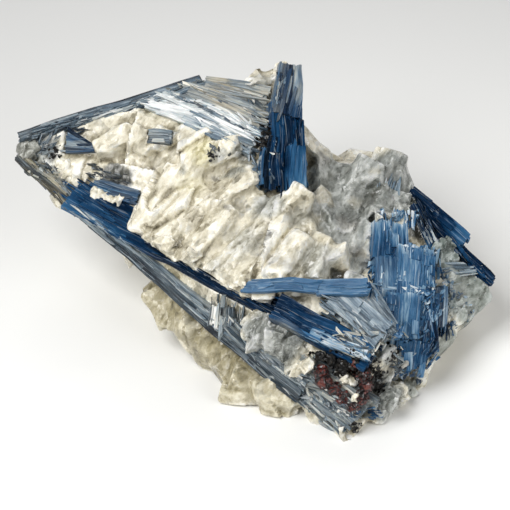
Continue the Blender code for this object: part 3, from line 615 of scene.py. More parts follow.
class Sheaf:
    """Collects the splinters of one piece, with the grain, tone and stain that its material reads."""

    def __init__(self, seed):
        self.rng = random.Random(seed)
        self.breaks = np.random.default_rng(seed)
        self.corners, self.faces, self.grain, self.tone, self.stain = [], [], [], [], []

    def splinter(self, start, end, across, out, low, high, thickness, looks, slip, step):
        """One long bar from low to high across the blade, whose face trembles and may step down once."""
        rng = self.rng
        along = end - start
        length = np.linalg.norm(along)
        along = along / length
        count = max(1, round(length / SPLINTER_STATION))
        step_at, step_down = step
        shares = [0.0, *(rng.uniform(0.02, 0.98) for _ in range(count)), 1.0]
        if step_down:
            shares += [step_at, min(1, step_at + BREAK_RUN / length)]
        lean = [rng.uniform(-0.9, 0.9) for _ in range(2)]
        rings = []
        for share in sorted(shares):
            near_edge = low[0] + (low[1] - low[0]) * share
            far_edge = high[0] + (high[1] - high[0]) * share
            bevel = min(0.2 * (far_edge - near_edge), SPLINTER_BEVEL)
            face = rng.gauss(0, SPLINTER_TREMBLE)
            if (share > step_at) == (step_down > 0):
                face -= abs(step_down)
            tilt = rng.gauss(0, SPLINTER_TREMBLE)
            outline = (
                (near_edge + bevel, face + tilt),
                (far_edge - bevel, face - tilt),
                (far_edge, face - bevel),
                (far_edge, -thickness),
                (near_edge, -thickness),
                (near_edge, face - bevel),
            )
            middle = (near_edge + far_edge) / 2
            near_end = (max(0, 1 - share * 4), max(0, share * 4 - 3))
            tone, stain = (np.interp(share, *zip(*stops)) + shift for stops, shift in looks)
            ring = []
            for a, o in outline:
                slant = abs(a - middle) * (lean[0] * near_end[0] - abs(lean[1]) * near_end[1])
                s = share * length + (abs(slant) if share < 0.5 else slant)
                ring.append(len(self.corners))
                self.corners.append(start + along * s + across * a + out * o)
                self.grain.append((s + slip, a + slip, o))
                self.tone.append(tone)
                self.stain.append(stain)
            rings.append(ring)
        for before, after in zip(rings, rings[1:]):
            for here in range(len(before)):
                self.faces.append((before[here - 1], before[here], after[here], after[here - 1]))
        self.faces.append(tuple(rings[0]))
        self.faces.append(tuple(reversed(rings[-1])))

    def slab(self, middle, along, up, size, tone, stain, skew=SLAB_SKEW):
        """A convex block, long along the grain and flat towards up."""
        along = along / np.linalg.norm(along)
        up = up - along * (up @ along)
        up /= np.linalg.norm(up)
        points, faces = cut_block(self.breaks, SLIVER_PLANES, skew)
        points = points * size
        first = len(self.corners)
        slip = self.rng.uniform(0, 100)
        self.corners.extend(middle + points @ np.stack((along, np.cross(up, along), up)))
        self.grain.extend(points + slip)
        self.tone.extend([tone] * len(points))
        self.stain.extend([stain] * len(points))
        self.faces.extend([first + corner for corner in face] for face in faces)

    def blade(
        self,
        start,
        end,
        sideways,
        width,  # at its start and at its end
        thickness,
        ragged,  # how unevenly its layers end
        tone,  # one, or stops along it
        edges=(0, 0),  # what is added to the tone along its two edges
        stain=0,
        spread=0.06,  # how much its layers' tones differ
        cut=(0, 0),  # how much more of its far edge is cut off at each end, or of its near one
        layered=LAYER_CHANCE,
        broken=0.6,  # how many of its layers are broken across
        cover=SLAB_COVER,
        slabs=SLAB_LENGTHS,
        slab_widths=SLAB_WIDTHS,
        out=OUTWARD,
    ):
        """A blade: layers of splinters side by side from the line start-end, one edge of its face."""
        rng = self.rng
        length = np.linalg.norm(end - start)
        along = (end - start) / length
        across = sideways - along * (sideways @ along)
        across /= np.linalg.norm(across)
        facing = np.cross(along, across)
        if facing @ out < 0:
            facing = -facing
        tone, stain = (stops if isinstance(stops, list) else [(0, stops)] for stops in (tone, stain))
        place = 0.0
        layer = None
        while place < 1:
            if layer is None or rng.random() < layered:
                layer = dict(
                    drop=rng.uniform(*LAYER_DROPS) * min(1, thickness / 2),
                    first=rng.uniform(0, ragged),
                    last=rng.uniform(0, ragged),
                    shade=rng.gauss(0, spread),
                    slip=rng.uniform(0, 100),
                    step_at=rng.uniform(0.1, 0.9),
                    step_down=rng.choice((-1, 1)) * rng.uniform(*LAYER_BREAK) * (rng.random() < broken),
                )
            after = place + rng.uniform(*SPLINTER_WIDTHS) / max(width)
            after = 1.0 if after > 0.96 else after
            drop = layer["drop"] + rng.gauss(0, 0.012)
            shade = layer["shade"] + rng.gauss(0, spread * 0.5) + edges[0] + (edges[1] - edges[0]) * place
            off = [abs(c) * (place if c > 0 else 1 - place) for c in cut]
            self.splinter(
                start + along * (layer["first"] + off[0] + rng.uniform(0, SPLINTER_END)) + facing * drop,
                end - along * (layer["last"] + off[1] + rng.uniform(0, SPLINTER_END)) + facing * drop,
                across,
                facing,
                [w * place - SPLINTER_LAP for w in width],
                [w * after + SPLINTER_LAP for w in width],
                thickness * 0.85 + drop,
                ((tone, shade), (stain, 0)),
                layer["slip"],
                (min(0.95, layer["step_at"] + rng.uniform(0, 0.02)), layer["step_down"]),
            )
            place = after
        count = round(cover * length * (width[0] + width[1]) / 2 / (sum(slabs) / 2 * sum(slab_widths) / 2))
        for _ in range(count):
            share, place = rng.uniform(0, 1), rng.uniform(0.02, 0.98)
            half = (rng.uniform(*slabs) / 2, rng.uniform(*slab_widths) / 2, min(SLAB_DEPTH, thickness / 2))
            room = min(half[0] * 0.8, length / 2)
            s = room + (length - 2 * room) * share
            wide = width[0] + (width[1] - width[0]) * s / length
            a = min(max(wide * place, half[1] * 0.8), wide - half[1] * 0.8)
            shift = edges[0] + (edges[1] - edges[0]) * a / wide + rng.gauss(0, spread)
            self.slab(
                start + along * s + across * a + facing * (rng.uniform(-0.1, 0.06) - half[2] * 0.85),
                along + across * rng.gauss(0, 0.03),
                facing + across * rng.gauss(0, 0.06) + along * rng.gauss(0, 0.008),
                np.array(half),
                np.interp(s / length, *zip(*tone)) + shift,
                np.interp(s / length, *zip(*stain)),
            )

    def strew(
        self, start, end, reach, heading, turn, count, lengths, tones, stain=0, widths=(0.2, 0.7),
        lift=(-0.12, 0.12),
    ):
        """Loose-grained splinters on a strip of the front, within a turn (degrees) of the heading."""
        rng = self.rng
        for _ in range(count):
            u, v = spot_on(start, end, reach, rng)
            angle = math.radians(heading + rng.gauss(0, turn))
            length = rng.uniform(*lengths)
            width = rng.uniform(*widths)
            steps = (-length / 2, length / 2)
            ends = [(u + step * math.cos(angle), v + step * math.sin(angle)) for step in steps]
            deep = [depth_at(*place, shown) for place in ends]
            if None in deep or abs(deep[0] - deep[1]) > length:
                continue
            tail, head = (on_front(*place, d + rng.uniform(*lift)) for place, d in zip(ends, deep))
            facing = along_front(rng.gauss(0, 0.3), rng.gauss(0, 0.3), 1)
            half = np.array((length / 2, width / 2, width / 2 + 0.1))
            middle = (tail + head) / 2 - facing * half[2] * 0.7
            self.slab(middle, head - tail, facing, half, rng.uniform(*tones), stain, SLIVER_SKEW)

    def piece(self, name, material, slot, node=None, on_show=True):
        """The collected splinters as one piece, fast in the lump, which stands for the node's solid."""
        points = np.array(self.corners)
        bends = [noise.noise_vector(Vector(point / BEND_LENGTH)) for point in points]
        points = inside_box(points + np.array(bends) * BEND)
        mesh = bpy.data.meshes.new(name)
        mesh.from_pydata(points * METRES, [], self.faces)
        tone, stain = np.array(self.tone), np.array(self.stain, float)
        if on_show:
            tone, stain = retone(points, tone, stain)
        give(mesh, "grain", np.array(self.grain))
        give(mesh, "tone", tone)
        give(mesh, "stain", stain)
        sharpen(mesh, BLADE_EDGE)
        fasten(new_piece(name, mesh), material, node)


def grow(name, material, slot, node, seed, blades, splinters=()):
    """One piece of kyanite on the front: its blades, then the splinters that lie loose over them."""
    sheaf = Sheaf(seed)
    for start, end, sideways, *sizes, more in blades:
        sheaf.blade(on_front(*start), on_front(*end), along_front(*sideways), *sizes, **more)
    for strip in splinters:
        sheaf.strew(*strip)
    sheaf.piece(name, material, slot, node)


shown = surface_of([lump.data, *(made.data for made in crystal_nodes)])

BLUE_TONES = (
    (0.0, "#01070f"), (0.2, "#04203c"), (0.4, "#143f63"),
    (0.6, "#38658a"), (0.78, "#7f9db4"), (1.0, "#e3e9eb"),
)
RUSTY_TONES = ((0.0, "#17140e"), (0.3, "#4a4638"), (0.55, "#837d6a"), (0.8, "#b9b29c"), (1.0, "#ece7d8"))


def kyanite(name, tones, streaks, pale_streaks_and_glints, dark_lines, gloss=("#ffffff", 0.2)):
    """Cleaved kyanite: pearly along the blade, with streaks of colour and fine parallel ridges."""
    material, tree, shader = start_material(name)
    grain = add(tree, "Attribute", output="Vector", attribute_name="grain")
    tone = add(tree, "Attribute", output="Fac", attribute_name="tone")
    stain = add(tree, "Attribute", output="Fac", attribute_name="stain")
    noises = []
    for scale, detail, roughness in (
        # broad bands, streaks, hair lines, thin lines of painted edge highlights and cross partings, the
        # scale along the grain first
        ((0.1, 0.45, 0.3), 3, 0.6),
        ((0.2, 2.4, 2.0), 5, 0.65),
        ((0.3, 7, 6), 4, 0.6),
        ((0.06, 4.4, 2), 2, 0.4),
        ((2.4, 0.6, 0.5), 4, 0.6),
    ):
        drawn = add(tree, "VectorMath", {0: grain, 1: scale}, operation="MULTIPLY")
        settings = {"Vector": drawn, "Scale": 1, "Detail": detail, "Roughness": roughness}
        noises.append(add(tree, "TexNoise", settings))
    broad, streak, hair, painted_edge_glint, parting = noises
    mixed = add(tree, "Math", {0: broad, 1: streak}, operation="ADD")
    limits = {"From Min": 0.7, "From Max": 1.3, "To Min": -streaks / 2, "To Max": streaks / 2}
    swing = add(tree, "MapRange", {"Value": mixed, **limits}, clamp=False)
    level = add(tree, "Math", {0: tone, 1: swing}, operation="ADD")
    colour = add(tree, "ValToRGB", {"Fac": level}, stops=tones)
    rusty = add(tree, "ValToRGB", {"Fac": level}, stops=RUSTY_TONES)
    limits = {"From Min": 0.4, "From Max": 0.6, "To Min": 0.5, "To Max": 1.5}
    patch = add(tree, "MapRange", {"Value": broad, **limits})
    stained = add(tree, "Math", {0: stain, 1: patch}, operation="MULTIPLY", use_clamp=True)
    colour = add(tree, "MixRGB", {"Fac": stained, "Color1": colour, "Color2": rusty})
    for where, low, high, strength, shade in (
        # pale streaks, thin white lines that are painted highlights of bright step edges, pale bruises
        # across the grain, and dark lines
        (streak, 0.58, 0.7, pale_streaks_and_glints * 0.7, "#b9cad8"),
        (painted_edge_glint, 0.63, 0.66, pale_streaks_and_glints, "#cfdbe3"),
        (parting, 0.62, 0.75, pale_streaks_and_glints * 0.4, "#a9bfd2"),
        (hair, 0.42, 0.3, dark_lines, "#03101f"),
    ):
        limits = {"From Min": low, "From Max": high, "To Min": 0, "To Max": strength}
        share = add(tree, "MapRange", {"Value": where, **limits})
        colour = add(tree, "MixRGB", {"Fac": share, "Color1": colour, "Color2": linear(shade)})
    limits = {"From Min": 0.3, "From Max": 0.7, "To Min": 0.16, "To Max": 0.5}
    ridges = add(tree, "Math", {0: hair, 1: streak}, operation="ADD")
    # Much of its gloss comes back from cleavages inside the crystal, so it has taken the crystal's colour.
    skin = {
        "Base Color": colour,
        "Roughness": add(tree, "MapRange", {"Value": hair, **limits}),
        "Normal": add(tree, "Bump", {"Height": ridges, "Strength": 0.6, "Distance": 0.00015}),
        "IOR": 1.72,
        "Specular Tint": linear(gloss[0]),
        "Specular IOR Level": gloss[1],
        "Subsurface Weight": 0.15,
        "Subsurface Radius": (0.3, 0.6, 1.0),
        "Subsurface Scale": 0.0008,
    }
    feed(tree, shader, skin)
    return material


deep_blue = kyanite("cleaved_deep_blue_kyanite", BLUE_TONES, 0.3, 0.24, 0.3, gloss=("#7f9fc4", 0.12))

# Each blade: both ends of one edge of its face, the way across the face, its widths at both ends, its
# thickness, how ragged it ends, its tone, and what else sets it apart. Each strip of splinters: its two
# ends, its reach to each side, their heading and turn, number, lengths and tones, any stain, widths, lift.

grow(
    "long_blade_and_fan", deep_blue, "deep_blue_kyanite", "front_blades", 31,
    blades=(
        ((-39.4, 10.6, -15), (22.4, -22.9, 7.2), (0.35, 0.75, -0.55), (7.4, 6.4), 1.8, 2,
         [(0, 0.4), (0.24, 0.28), (0.29, 0.08), (0.62, 0.06), (0.8, 0.2), (1, 0.26)],
         dict(edges=(0.1, -0.12), spread=0.03, layered=0.08)),
        ((1.8, -12.0, 3.2), (23.4, -21.4, 7.2), (0.4, 0.86, -0.3), (5.4, 4), 4, 2.5,
         [(0, 0.16), (0.5, 0.3), (1, 0.45)], dict(edges=(0.06, -0.04))),
        ((9.4, -15.2, 4.8), (23.0, -21.0, 8), (0.4, 0.86, -0.3), (2.2, 2.4), 2.6, 1.6, 0.72,
         dict(spread=0.15)),
    ),
    splinters=(
        ((-21, 1.8), (15, -18.2), 0.7, -29, 2, 60, (2, 9), (0.02, 0.3), 0, (0.1, 0.35)),
        ((-35, 10), (-25, 3.8), 1.6, -31, 1.5, 14, (3, 9), (0.5, 0.85), 0, (0.08, 0.18)),
        ((-37.8, 14.6), (-25, 6.6), 3, -28, 2, 30, (3, 8), (0.1, 0.5), 0, (0.2, 0.5)),
        ((4, -10), (17, -17), 1.6, -24, 5, 40, (2, 7), (0.1, 0.5), 0, (0.15, 0.5)),
        ((10, -15), (22.6, -19.8), 1.1, -24, 6, 46, (2, 7), (0.55, 1.0), 0, (0.12, 0.4)),
    ),
)

# ---- The frayed blades over the fan ------------------------------------------------------
# The pale streaky blades over the fan: the same mineral with less iron and titanium in it, so it is
# silvery, frayed to splinters where the fan was broken, and grown into the fan's dark blades.

SILVER_TONES = (
    (0.0, "#0a1622"), (0.2, "#2b3c49"), (0.42, "#566978"),
    (0.64, "#8797a2"), (0.82, "#c3cacb"), (1.0, "#f6f9f9"),
)
silver_blue = kyanite("cleaved_silver_blue_kyanite", SILVER_TONES, 0.5, 0.45, 0.35)

grow(
    "frayed_fan_splinters", silver_blue, "silver_blue_kyanite", None, 47,
    blades=(
        ((13.4, -8.4, 2.6), (24.6, -19, 7.2), (0.62, 0.75, -0.22), (5, 6), 4, 2.5, 0.54,
         dict(spread=0.08, slabs=(2, 7), slab_widths=(1, 3), cover=0.35, layered=0.06, broken=0.2)),
        ((18, -7.2, 1.6), (27.6, -18.6, 6), (0.8, 0.58, -0.25), (5.5, 4), 4, 2.5,
         [(0, 0.58), (0.4, 0.54), (1, 0.42)],
         dict(stain=[(0, 0), (0.5, 0.2)], spread=0.1, slabs=(2, 6), slab_widths=(0.8, 2.4), cover=0.4,
              layered=0.08, broken=0.3)),
    ),
    splinters=(
        ((14, -10.2), (23.4, -17.4), 2.6, -42, 10, 50, (1.5, 5), (0.3, 0.75), 0.1),
        ((17, -15.4), (30, -22), 3, -32, 22, 150, (1, 5), (0.2, 0.85), 0.5),
        ((23.4, -16), (31, -19.4), 3.4, -50, 40, 90, (0.8, 3.4), (0.1, 0.95), 0.5),
        ((24, -23.4), (31.4, -25), 2.6, 10, 35, 70, (0.8, 3.4), (0.05, 0.5), 0.5),
    ),
)

# ---- The lower edge ----------------------------------------------------------------------
# The grey-blue blades along the lower edge, from the left point to the foot: silvery kyanite again,
# stained brown near the point, frayed into fine splinters, and held by the quartz under it.

grow(
    "lower_edge_blades", silver_blue, "silver_blue_kyanite", "lower_blades", 52,
    blades=(
        ((-49.4, 19.2, -23), (8.6, -30.4, 0.2), (0.55, 0.62, 0.56), (2.4, 5.2), 1.8, 1,
         [(0, 0.5), (0.2, 0.5), (0.3, 0.42), (0.6, 0.5), (1, 0.5)],
         dict(edges=(-0.2, 0.08), stain=[(0, 0.9), (0.2, 0.7), (0.34, 0.25), (1, 0.25)])),
        ((-8, -13.4, -4), (18.4, -36.4, 1.8), (0.6, 0.72, 0.34), (3.5, 6), 2, 1, 0.52,
         dict(spread=0.1, edges=(-0.1, 0.06), stain=0.25)),
        ((-1, -17.4, -1), (21, -33.6, 3), (0.55, 0.8, 0.24), (4, 5), 2.2, 2.5, 0.55,
         dict(spread=0.1, stain=0.35)),
        ((7, -23.4, 1.6), (23.6, -32.6, 2.4), (0.5, 0.84, 0.1), (5, 4), 3, 2.5, 0.52,
         dict(spread=0.1, stain=0.35)),
    ),
    splinters=(
        ((-48.6, 19.4), (-37, 9.4), 0.8, -42, 4, 50, (1.5, 6), (0.2, 0.75), 0.9),
        ((-48.2, 19), (-37, 10), 1.6, -45, 12, 40, (1, 4), (0.1, 0.6), 0.6),
        ((-35, 8.6), (9, -27.4), 0.9, -40, 3, 170, (2, 8), (0.2, 0.75), 0.2),
        ((-6, -14), (17, -35), 2, -43, 8, 150, (1.5, 6), (0.2, 0.8), 0.3),
        ((1.4, -18), (19, -32.6), 3.4, -40, 16, 230, (1, 4.5), (0.15, 0.85), 0.4),
        ((9, -25), (18, -34), 3, -25, 30, 120, (0.8, 3.6), (0.1, 0.9), 0.2),
    ),
)

# ---- The crest ---------------------------------------------------------------------------
# A sheet of silvery kyanite over the left half's top, cleaved into long bright faces with smoky quartz
# rubbed into it, and a thin dark edge where its outermost strips stand end on. It lies on the lump.

grow(
    "crest_sheet", silver_blue, "silver_blue_kyanite", "crest_blades", 83,
    blades=(
        ((-49, 24.8, -23.8), (-11, 36.8, -21), (0.2, -0.93, 0.3), (1.8, 2.6), 3, 0.8,
         [(0, 0.3), (0.4, 0.16), (1, 0.14)],
         dict(edges=(-0.05, 0.35), stain=[(0, 0.5), (0.3, 0.1), (1, 0)], spread=0.12)),
        ((-22, 31.8, -19.6), (-8, 28.0, -16.4), (0.1, -0.95, 0.3), (1.8, 3.4), 2.4, 1.5, 0.88,
         dict(spread=0.06)),
        ((-14, 30.4, -17.8), (1.6, 22.6, -12.6), (-0.3, -0.9, 0.35), (3.6, 3.6), 2.4, 1.6, 0.72,
         dict(edges=(0.05, -0.05), spread=0.12)),
        ((-19.4, 34.2, -20), (2.4, 24.8, -13.4), (-0.35, -0.9, 0.3), (1.6, 3), 2.6, 1.6, 0.9,
         dict(edges=(-0.45, 0.2), spread=0.08)),
        ((-15, 35.8, -20.4), (3.4, 28.8, -15), (-0.3, -0.9, 0.3), (2.6, 4.4), 2.6, 1.6, 0.68,
         dict(stain=0.6, spread=0.16)),
        ((-11.4, 36.8, -20.4), (3.6, 34, -17.6), (-0.3, -0.9, 0.3), (2.6, 5), 2.6, 1.6, 0.7,
         dict(stain=0.5, spread=0.16)),
    ),
    splinters=(
        ((-45, 24.6), (-11, 34.2), 0.8, 17, 4, 110, (1.5, 6), (0.05, 0.55), 0.05),
        ((-35, 27), (-21, 31.4), 0.6, 17, 4, 30, (1.5, 5), (0.5, 0.9), 0.1),
        ((-21, 32.2), (-10, 29.4), 1.6, -12, 8, 60, (2, 6), (0.7, 1.0)),
        ((-16, 34.2), (3, 28.6), 2.4, -22, 10, 190, (1, 5), (0.2, 0.95), 0.55),
        ((-10, 30.2), (1.4, 24.2), 1.4, -27, 4, 60, (2, 6), (0.75, 1.0)),
        ((-18, 33), (0.6, 24.2), 0.25, -27, 3, 24, (2, 6), (0.05, 0.3)),
        ((-11, 26.6), (-1, 21.8), 1.8, -25, 5, 60, (2, 5), (0.3, 0.95)),
        ((-2, 31), (3.4, 18), 2.4, -50, 25, 120, (0.8, 3), (0.05, 0.95), 0.2),
        ((0, 21), (2.2, 13.8), 1.8, -65, 20, 60, (0.8, 3), (0.15, 0.8), 0.1),
    ),
)

# ---- The upright blades ------------------------------------------------------------------
# Dark crystals standing through the middle of the lump and out beyond its top as a grey-blue tooth,
# brightest low on the right, a painted glow for light coming through the thin edge.

grow(
    "upright_blades_and_tooth", deep_blue, "deep_blue_kyanite", "upright_blades", 131,
    blades=(
        ((4.0, 12.4, -8.2), (3.4, 31.6, -13), (0.93, 0, -0.37), (6.4, 6.8), 4.2, 2,
         [(0, 0.26), (0.5, 0.3), (0.8, 0.36), (1, 0.45)], dict(edges=(0.04, 0.0), spread=0.12)),
        ((3.2, 28.6, -12), (5.4, 39.6, -15), (0.97, 0.18, -0.25), (6.6, 4.4), 4, 0.4, 0.6,
         dict(stain=0.4, edges=(0.05, -0.15), spread=0.12)),
        # painted glow: this blade's tone is raised towards its low end, for light through the thin edge
        ((7, 11.6, -6.8), (7.2, 23.4, -9.8), (0.93, 0, -0.37), (3.6, 3), 3, 1.5,
         [(0, 0.55), (0.6, 0.45), (1, 0.4)], {}),
        ((1.2, 13, -8), (2.2, 25.6, -11), (0.94, 0, -0.34), (3, 2.6), 3, 1.5, 0.22, dict(spread=0.2)),
    ),
    splinters=(
        ((7, 29), (7, 14), 2.4, 88, 4, 60, (2, 7), (0.05, 0.5)),
        ((8.6, 23), (10, 14.6), 0.9, -75, 4, 30, (2, 7), (0.45, 0.85)),
        ((5.8, 36), (5.8, 31), 2, 85, 12, 50, (1, 4), (0.2, 0.8), 0.4),
    ),
)

# ---- The lath ----------------------------------------------------------------------------
# One slim pale crystal lying level across the front, smooth along its cleavage, cut slantwise at its
# left end and broken once across. Its ends are grown into the quartz and the stack beside it.

pale_blue = kyanite("cleaved_pale_blue_kyanite", BLUE_TONES, 0.2, 0.2, 0.12)

grow(
    "lath", pale_blue, "pale_blue_kyanite", "pale_lath", 212,
    blades=(
        ((-3.2, -6.9, 2.4), (12.9, -7.3, 3.9), (0, 0.94, -0.34), (2.4, 2.7), 1.6, 0.1,
         [(0, 0.6), (0.5, 0.56), (1, 0.54)],
         dict(edges=(0, -0.03), spread=0.02, cut=(1.6, 0), layered=0.04)),
        ((11.9, -7.6, 3.6), (23.0, -7.9, 4.6), (0, 0.94, -0.34), (3.1, 3.4), 1.6, 0.7,
         [(0, 0.64), (0.2, 0.58), (1, 0.6)], dict(edges=(0.04, -0.02), spread=0.03, layered=0.06)),
    ),
    splinters=(
        ((-1, -5.8), (21, -5.8), 1, 0, 1, 14, (2, 8), (0.5, 0.72), 0, (0.08, 0.2)),
    ),
)

# ---- The stack of short blades -----------------------------------------------------------
# Mid-blue crystals side by side at the right, standing on end, broken off square, with bruised white
# ends and crumbs of pale kyanite between them. They are grown together and into the lump.

BLOCKY = dict(slabs=(1.5, 5), slab_widths=(1.2, 3.4), cover=0.3, layered=0.06, broken=0.15)
CAPPED = [(0, 0.52), (0.5, 0.55), (0.82, 0.58), (0.94, 0.72), (1, 0.85)]  # bruised white at its top end
mid_blue = kyanite("cleaved_mid_blue_kyanite", BLUE_TONES, 0.45, 0.35, 0.12, gloss=("#c8d8e6", 0.2))

grow(
    "stack_of_short_blades", mid_blue, "mid_blue_kyanite", "block_blades", 343,
    blades=(
        ((23.8, -1.6, -5), (24.2, 8.8, -9), (0.95, 0, -0.3), (7.4, 7), 6, 1.8, CAPPED,
         dict(edges=(0, 0.02), spread=0.09, **BLOCKY)),
        ((28.4, -9.4, -2), (29.2, 4, -6), (0.97, 0, -0.22), (7.8, 7), 6, 2, CAPPED,
         dict(edges=(0, -0.06), spread=0.09, **BLOCKY)),
        ((24.6, -9.6, -1), (24.2, 1.2, -4.4), (0.95, 0, -0.3), (6.2, 6), 6, 2, 0.5,
         dict(stain=0.1, spread=0.14, **BLOCKY)),
        ((25.4, -18.4, 1), (25.8, -6.8, 0), (0.93, 0, -0.36), (8.2, 8), 6, 2,
         [(0, 0.6), (0.5, 0.54), (0.9, 0.52), (1, 0.7)], dict(edges=(-0.12, 0.04), spread=0.07, **BLOCKY)),
        ((31.2, -23.6, -2.5), (32, -5.4, -3.4), (0.93, 0, -0.36), (6.2, 5.6), 6, 2,
         [(0, 0.4), (0.4, 0.36), (0.7, 0.5), (1, 0.62)], dict(spread=0.1, cut=(5, 0), **BLOCKY)),
        ((27.6, -26.4, -2.6), (28.8, -16.4, 0), (0.93, 0, -0.36), (6.2, 7), 6, 2, [(0, 0.48), (1, 0.5)],
         dict(spread=0.12, cut=(4, 0), **BLOCKY)),
        ((34.6, -15.4, -5), (34.8, -5, -6), (0.9, 0, -0.43), (4.6, 4.2), 5, 1.5, 0.52,
         dict(stain=0.2, spread=0.14, **BLOCKY)),
    ),
    splinters=(
        ((25.4, 6), (32, 4.6), 2.6, 90, 5, 46, (1, 4), (0.35, 0.9), 0, (0.2, 0.7), (0, 0.35)),
        ((25, 8.2), (32.6, 7.8), 0.7, 85, 14, 60, (0.6, 2.2), (0.5, 0.95), 0, (0.2, 0.7), (0, 0.35)),
        ((29.8, 1.6), (38, 1), 0.8, 85, 14, 60, (0.6, 2.2), (0.45, 0.9), 0, (0.2, 0.7), (0, 0.35)),
        ((24, -1.4), (24, -9), 1.2, 75, 30, 50, (0.6, 2.2), (0.2, 0.8), 0, (0.2, 0.7), (0, 0.35)),
        ((31.4, -7), (31.4, -18), 3.4, 75, 50, 110, (0.5, 2.0), (0.3, 0.8), 0, (0.4, 1.4), (0, 0.35)),
        ((31, -1.4), (37.4, -2.6), 2.6, 90, 6, 50, (1, 4), (0.3, 0.85), 0, (0.2, 0.7), (0, 0.35)),
        ((26, -3), (30, -5.4), 2, 90, 8, 60, (0.8, 2.4), (0.6, 1.0), 0, (0.3, 0.9), (0.1, 0.5)),
        ((23.4, -6.6), (31.8, -6.6), 0.8, 0, 10, 46, (1, 4), (0.7, 1.0), 0, (0.2, 0.7), (0.1, 0.5)),
        ((27, -11), (34, -15), 4, 88, 6, 90, (1, 5), (0.3, 0.8), 0, (0.2, 0.7), (0, 0.35)),
        ((35, -7), (38.4, -18), 2.4, 88, 8, 70, (1, 4.5), (0.1, 0.8), 0, (0.2, 0.7), (0, 0.35)),
        ((34.6, -6), (37.8, -12.6), 3, 60, 40, 90, (0.6, 2), (0.45, 0.95), 0, (0.3, 1), (0.1, 0.5)),
        ((36, -4), (43, -14), 2.6, 80, 40, 120, (0.5, 1.8), (0.35, 0.95), 0.3, (0.2, 0.7), (0, 0.35)),
        ((32, -17), (37, -22), 2.4, 60, 18, 50, (1, 4), (0.25, 0.7), 0, (0.2, 0.7), (0, 0.35)),
        ((18.6, -31.4), (24.6, -31.8), 1.2, -15, 18, 40, (1, 3), (0.3, 0.65)),
        ((29, -23.4), (34, -24.2), 1.6, 70, 30, 40, (0.8, 2.6), (0.2, 0.7), 0.3),
    ),
)

# ---- The right-hand edge -----------------------------------------------------------------
# Dark blades one behind the other along the edge, deep-blue kyanite, the upper one broken off blunt.
# They stand out of the quartz that holds their lower sides.

grow(
    "right_edge_blades_shown", deep_blue, "deep_blue_kyanite", "right_edge_blades", 554,
    blades=(
        ((32.2, 14.2, -18.6), (44.2, 4.0, -15), (-0.55, -0.62, 0.55), (1.2, 3.4), 2.2, 0.4,
         [(0, 0.12), (0.6, 0.14), (0.75, 0.4), (1, 0.5)], dict(spread=0.05)),
        ((34.6, 10.2, -17.2), (49.2, -4.8, -14.6), (-0.55, -0.62, 0.55), (2.2, 1.8), 2.4, 0.6, 0.22,
         dict(spread=0.1)),
        ((33, 11.8, -17.4), (38.2, 1.4, -13.4), (-0.6, -0.5, 0.6), (2.4, 2), 2, 1, 0.08, dict(spread=0.06)),
    ),
    splinters=(
        ((33, 9), (37, 3), 1.4, -52, 12, 40, (1, 4), (0.0, 0.25)),
        ((39.4, 3.4), (47.4, -6.6), 0.7, -48, 6, 40, (1, 5), (0.05, 0.4)),
    ),
)

# ---- The tip wedge -----------------------------------------------------------------------
# A small dark wedge of kyanite near the left point, cleaved across its width and stained brown. It is
# set in the quartz, with its thin end towards the long blade.

grow(
    "tip_wedge", deep_blue, "deep_blue_kyanite", "tip_blade", 895,
    blades=(
        ((-38.8, 21.0, -21), (-31.6, 21.0, -18.4), (0.1, 0.95, -0.3), (5.4, 0.9), 1.6, 0.5, 0.5,
         dict(edges=(0.06, -0.3), stain=0.35, spread=0.12)),
    ),
)

# ---- The inner blade ---------------------------------------------------------------------
# A lilac-blue step of kyanite above the long blade's left half, lightly stained and streaked. It grew
# along that blade, and the cream quartz beside it hides its lower end.

grow(
    "inner_blade_shown", mid_blue, "mid_blue_kyanite", "inner_blade", 1446,
    blades=(
        ((-34.6, 13.1, -18.2), (-23.4, 9.9, -13), (0.2, 0.9, -0.4), (3.1, 3.3), 1.5, 0.8, 0.42,
         dict(edges=(-0.02, 0.08), stain=0.3, spread=0.08)),
    ),
    splinters=(
        ((-33.4, 13.8), (-23.4, 10.2), 0.8, -17, 3, 24, (2, 6), (0.3, 0.85)),
    ),
)

# ---- The sunk crystal --------------------------------------------------------------------
# A small grey crystal of silvery kyanite in the middle of the cream quartz, broken off level with it.
# The quartz grew round it and holds it on all sides.

grow(
    "sunk_crystal_shown", silver_blue, "silver_blue_kyanite", "sunk_crystal", 2337,
    blades=(
        ((-22.2, 22.6, -15.8), (-16.8, 22.4, -13.6), (0, 0.95, -0.3), (3.0, 2.8), 1.6, 0.3, 0.58,
         dict(stain=0.3, edges=(-0.1, -0.05), spread=0.12)),
    ),
)

# ---- The cross splinters -----------------------------------------------------------------
# Short upright splinters of silvery kyanite, pale and dark side by side, in the gap between the long
# blade and the lower ones. They grew across that gap and are held at both ends.

grow(
    "cross_splinters_shown", silver_blue, "silver_blue_kyanite", "cross_splinters", 3778,
    blades=(
        ((-9.4, -15.4, -2.6), (-9, -9.6, -1.6), (0.97, 0, 0.24), (5.4, 4.8), 1.4, 1.2, 0.5,
         dict(spread=0.3, stain=0.4)),
    ),
    splinters=(
        ((-8, -9), (-2.2, -14.6), 2, 84, 6, 60, (1.5, 5), (0.05, 1.0), 0.4, (0.12, 0.35)),
    ),
)
